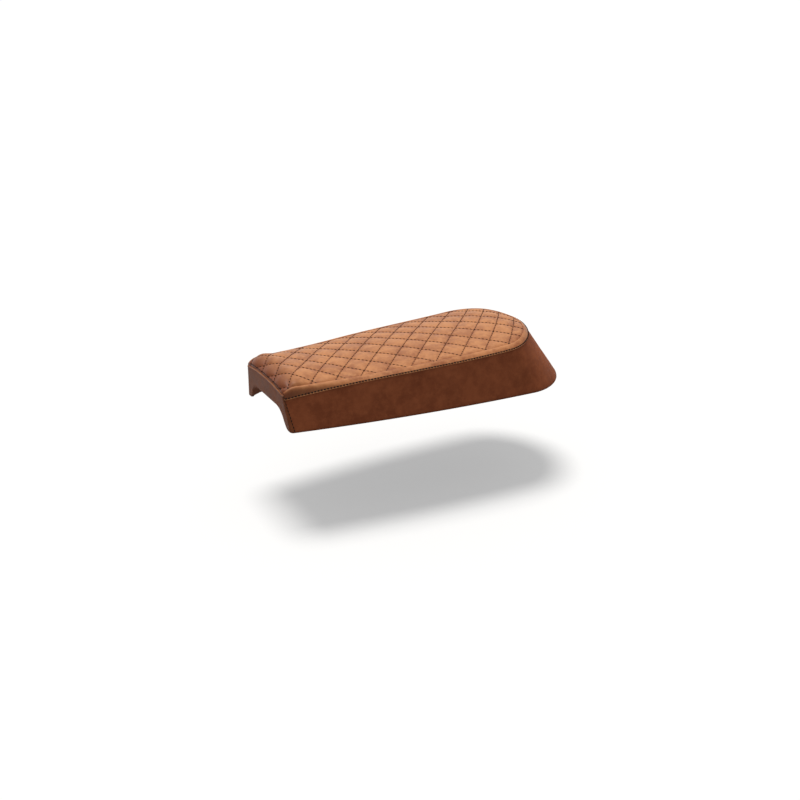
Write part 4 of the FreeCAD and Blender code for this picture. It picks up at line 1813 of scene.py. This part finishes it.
    def build(self) -> None:
        """Sews every seam."""
        seam = (self.seam_pitch, self.seam_length)
        self.sew("quilt_thread", self.quilt_runs(), self.quilt_pitch, self.quilt_length, self.quilt_thickness)
        self.sew("side_seam_thread", self.seam_runs(), *seam, self.seam_thickness)
        self.sew("corner_seam_thread", self.corner_runs(), *seam, self.quilt_thickness)
        self.sew("front_seam_thread", self.front_runs(), *seam, self.quilt_thickness)


KEPT_FINISHES: dict[str, Finish] = {
    "base_pan": PAN_PLASTIC,
    "foam_core": FOAM_YELLOW,
    "mount_strip": STRIP_STEEL,
    "weld_nuts": STRIP_STEEL,
    "strip_rivets": RIVET_METAL,
    "hem_staples": RIVET_METAL,
    "buffer": BUFFER_RUBBER,
}


class Underside:
    """Pan, foam and fixings, kept as their solids and given their finishes."""

    def build(self) -> None:
        """Gives each kept solid the finish that the start of its name calls for."""
        for name, node in sorted(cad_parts.items()):
            for start, finish in KEPT_FINISHES.items():
                if name.startswith(start):
                    dress(node, finish)
                    log.info("%s: %s", name, finish.name)


@dataclass
class Studio:
    """White floor and background, a soft lamp and the camera."""

    floor_drop: float = 190.0
    floor_reach: float = 600000.0
    azimuth: float = 29.2045
    elevation: float = 22.7282
    roll: float = 0.8116
    distance: float = 1905.4
    aim: tuple[float, float, float] = (-2.81, 0.0, 48.55)
    shift_right: float = 28.586
    shift_up: float = 73.306
    lens: float = 46.68
    sensor: float = 36.0
    clip_start: float = 0.01
    clip_end: float = 1000.0
    floor_glow: float = 0.35
    floor_white: float = 0.65
    floor_dim: float = 0.2
    surroundings: float = 0.30
    sun: float = 2.4
    sun_width: float = 25.0
    sun_colour: tuple[float, float, float] = (1.0, 0.985, 0.96)
    sun_direction: tuple[float, float, float] = (-0.08, 0.12, -1.0)

    def camera(self) -> None:
        """Places the camera where the photograph was taken from."""
        azimuth, elevation, roll = (math.radians(a) for a in (self.azimuth, self.elevation, self.roll))
        level = math.cos(elevation)
        back = Vector((math.sin(azimuth) * level, math.cos(azimuth) * level, math.sin(elevation)))
        right = Vector((-math.cos(azimuth), math.sin(azimuth), 0.0))
        up = back.cross(right)
        turned_right = math.cos(roll) * right + math.sin(roll) * up
        turned_up = -math.sin(roll) * right + math.cos(roll) * up
        place = Vector(self.aim) + back * self.distance
        place -= turned_right * self.shift_right
        place -= turned_up * self.shift_up
        data = bpy.data.cameras.new("camera")
        data.lens = self.lens
        data.sensor_width = self.sensor
        data.clip_start = self.clip_start
        data.clip_end = self.clip_end
        camera = bpy.data.objects.new("camera", data)
        bpy.context.scene.collection.objects.link(camera)
        axes = Matrix((turned_right, turned_up, back)).transposed().to_4x4()
        camera.matrix_world = Matrix.Translation(place * MM) @ axes
        bpy.context.scene.camera = camera

    def overhead(self) -> None:
        """Hangs one wide, even lamp overhead."""
        data = bpy.data.lights.new("overhead_lamp", "SUN")
        data.energy = self.sun
        data.angle = math.radians(self.sun_width)
        data.color = self.sun_colour
        lamp = bpy.data.objects.new("overhead_lamp", data)
        bpy.context.scene.collection.objects.link(lamp)
        lamp.rotation_euler = Vector(self.sun_direction).to_track_quat("-Z", "Y").to_euler()

    def floor(self) -> None:
        """Lays a white floor that keeps the seat's shadow and can be seen through from below."""
        deselect()
        below = (0.0, 0.0, -self.floor_drop * MM)
        bpy.ops.mesh.primitive_plane_add(size=self.floor_reach * MM, location=below)
        floor = bpy.context.object
        floor.name = "floor"
        paint = Paint("white_floor")
        paint.set(Base_Color=grey(self.floor_white), Roughness=1.0, Specular_IOR_Level=0.0)
        glow = paint.add("ShaderNodeEmission", {}, {"Color": grey(1.0), "Strength": self.floor_glow})
        bright = paint.add("ShaderNodeAddShader", {}, {0: glow.out(0), 1: paint.surface.out("BSDF")})
        dim = paint.add("ShaderNodeBsdfDiffuse", {}, {"Color": grey(self.floor_dim)})
        lit = paint.add("ShaderNodeMixShader", {}, {0: paint.seen(), 1: dim.out(0), 2: bright.out(0)})
        clear = paint.add("ShaderNodeBsdfTransparent", {}, {})
        behind = paint.add("ShaderNodeNewGeometry", {}, {}).out("Backfacing")
        facing = paint.add("ShaderNodeMixShader", {}, {0: behind, 1: lit.out(0), 2: clear.out(0)})
        paint.feed(paint.output.node, {"Surface": facing.out(0)})
        floor.data.materials.append(paint.material)

    def world(self) -> None:
        """Even surroundings, white where they are seen."""
        world = bpy.data.worlds.new("surroundings")
        bpy.context.scene.world = world
        world.use_nodes = True
        nodes = Nodes(world.node_tree)
        soft = nodes.add("ShaderNodeBackground", {}, {"Color": grey(1.0), "Strength": self.surroundings})
        white = nodes.add("ShaderNodeBackground", {}, {"Color": grey(1.0), "Strength": 1.0})
        mixed = nodes.add("ShaderNodeMixShader", {}, {0: nodes.seen(), 1: soft.out(0), 2: white.out(0)})
        nodes.add("ShaderNodeOutputWorld", {}, {"Surface": mixed.out(0)})

    def build(self) -> None:
        """Sets up camera, floor, surroundings and lamp."""
        self.camera()
        self.floor()
        self.world()
        self.overhead()
        bpy.context.scene.view_settings.view_transform = "Standard"


def main() -> None:
    """Builds the seat's cover, dresses its solids and sets the studio."""
    logging.basicConfig(level=logging.INFO, format="%(name)s: %(message)s")
    form = SeatForm()
    Studio().build()
    top = QuiltedTop(form)
    top.build()
    BorderRoll(form).build()
    band = SideBand(form)
    band.build()
    band.fold()
    front = FrontPanel(form)
    front.build()
    front.welt()
    Stitching(form, top).build()
    Underside().build()


if __name__ == "__main__":
    main()
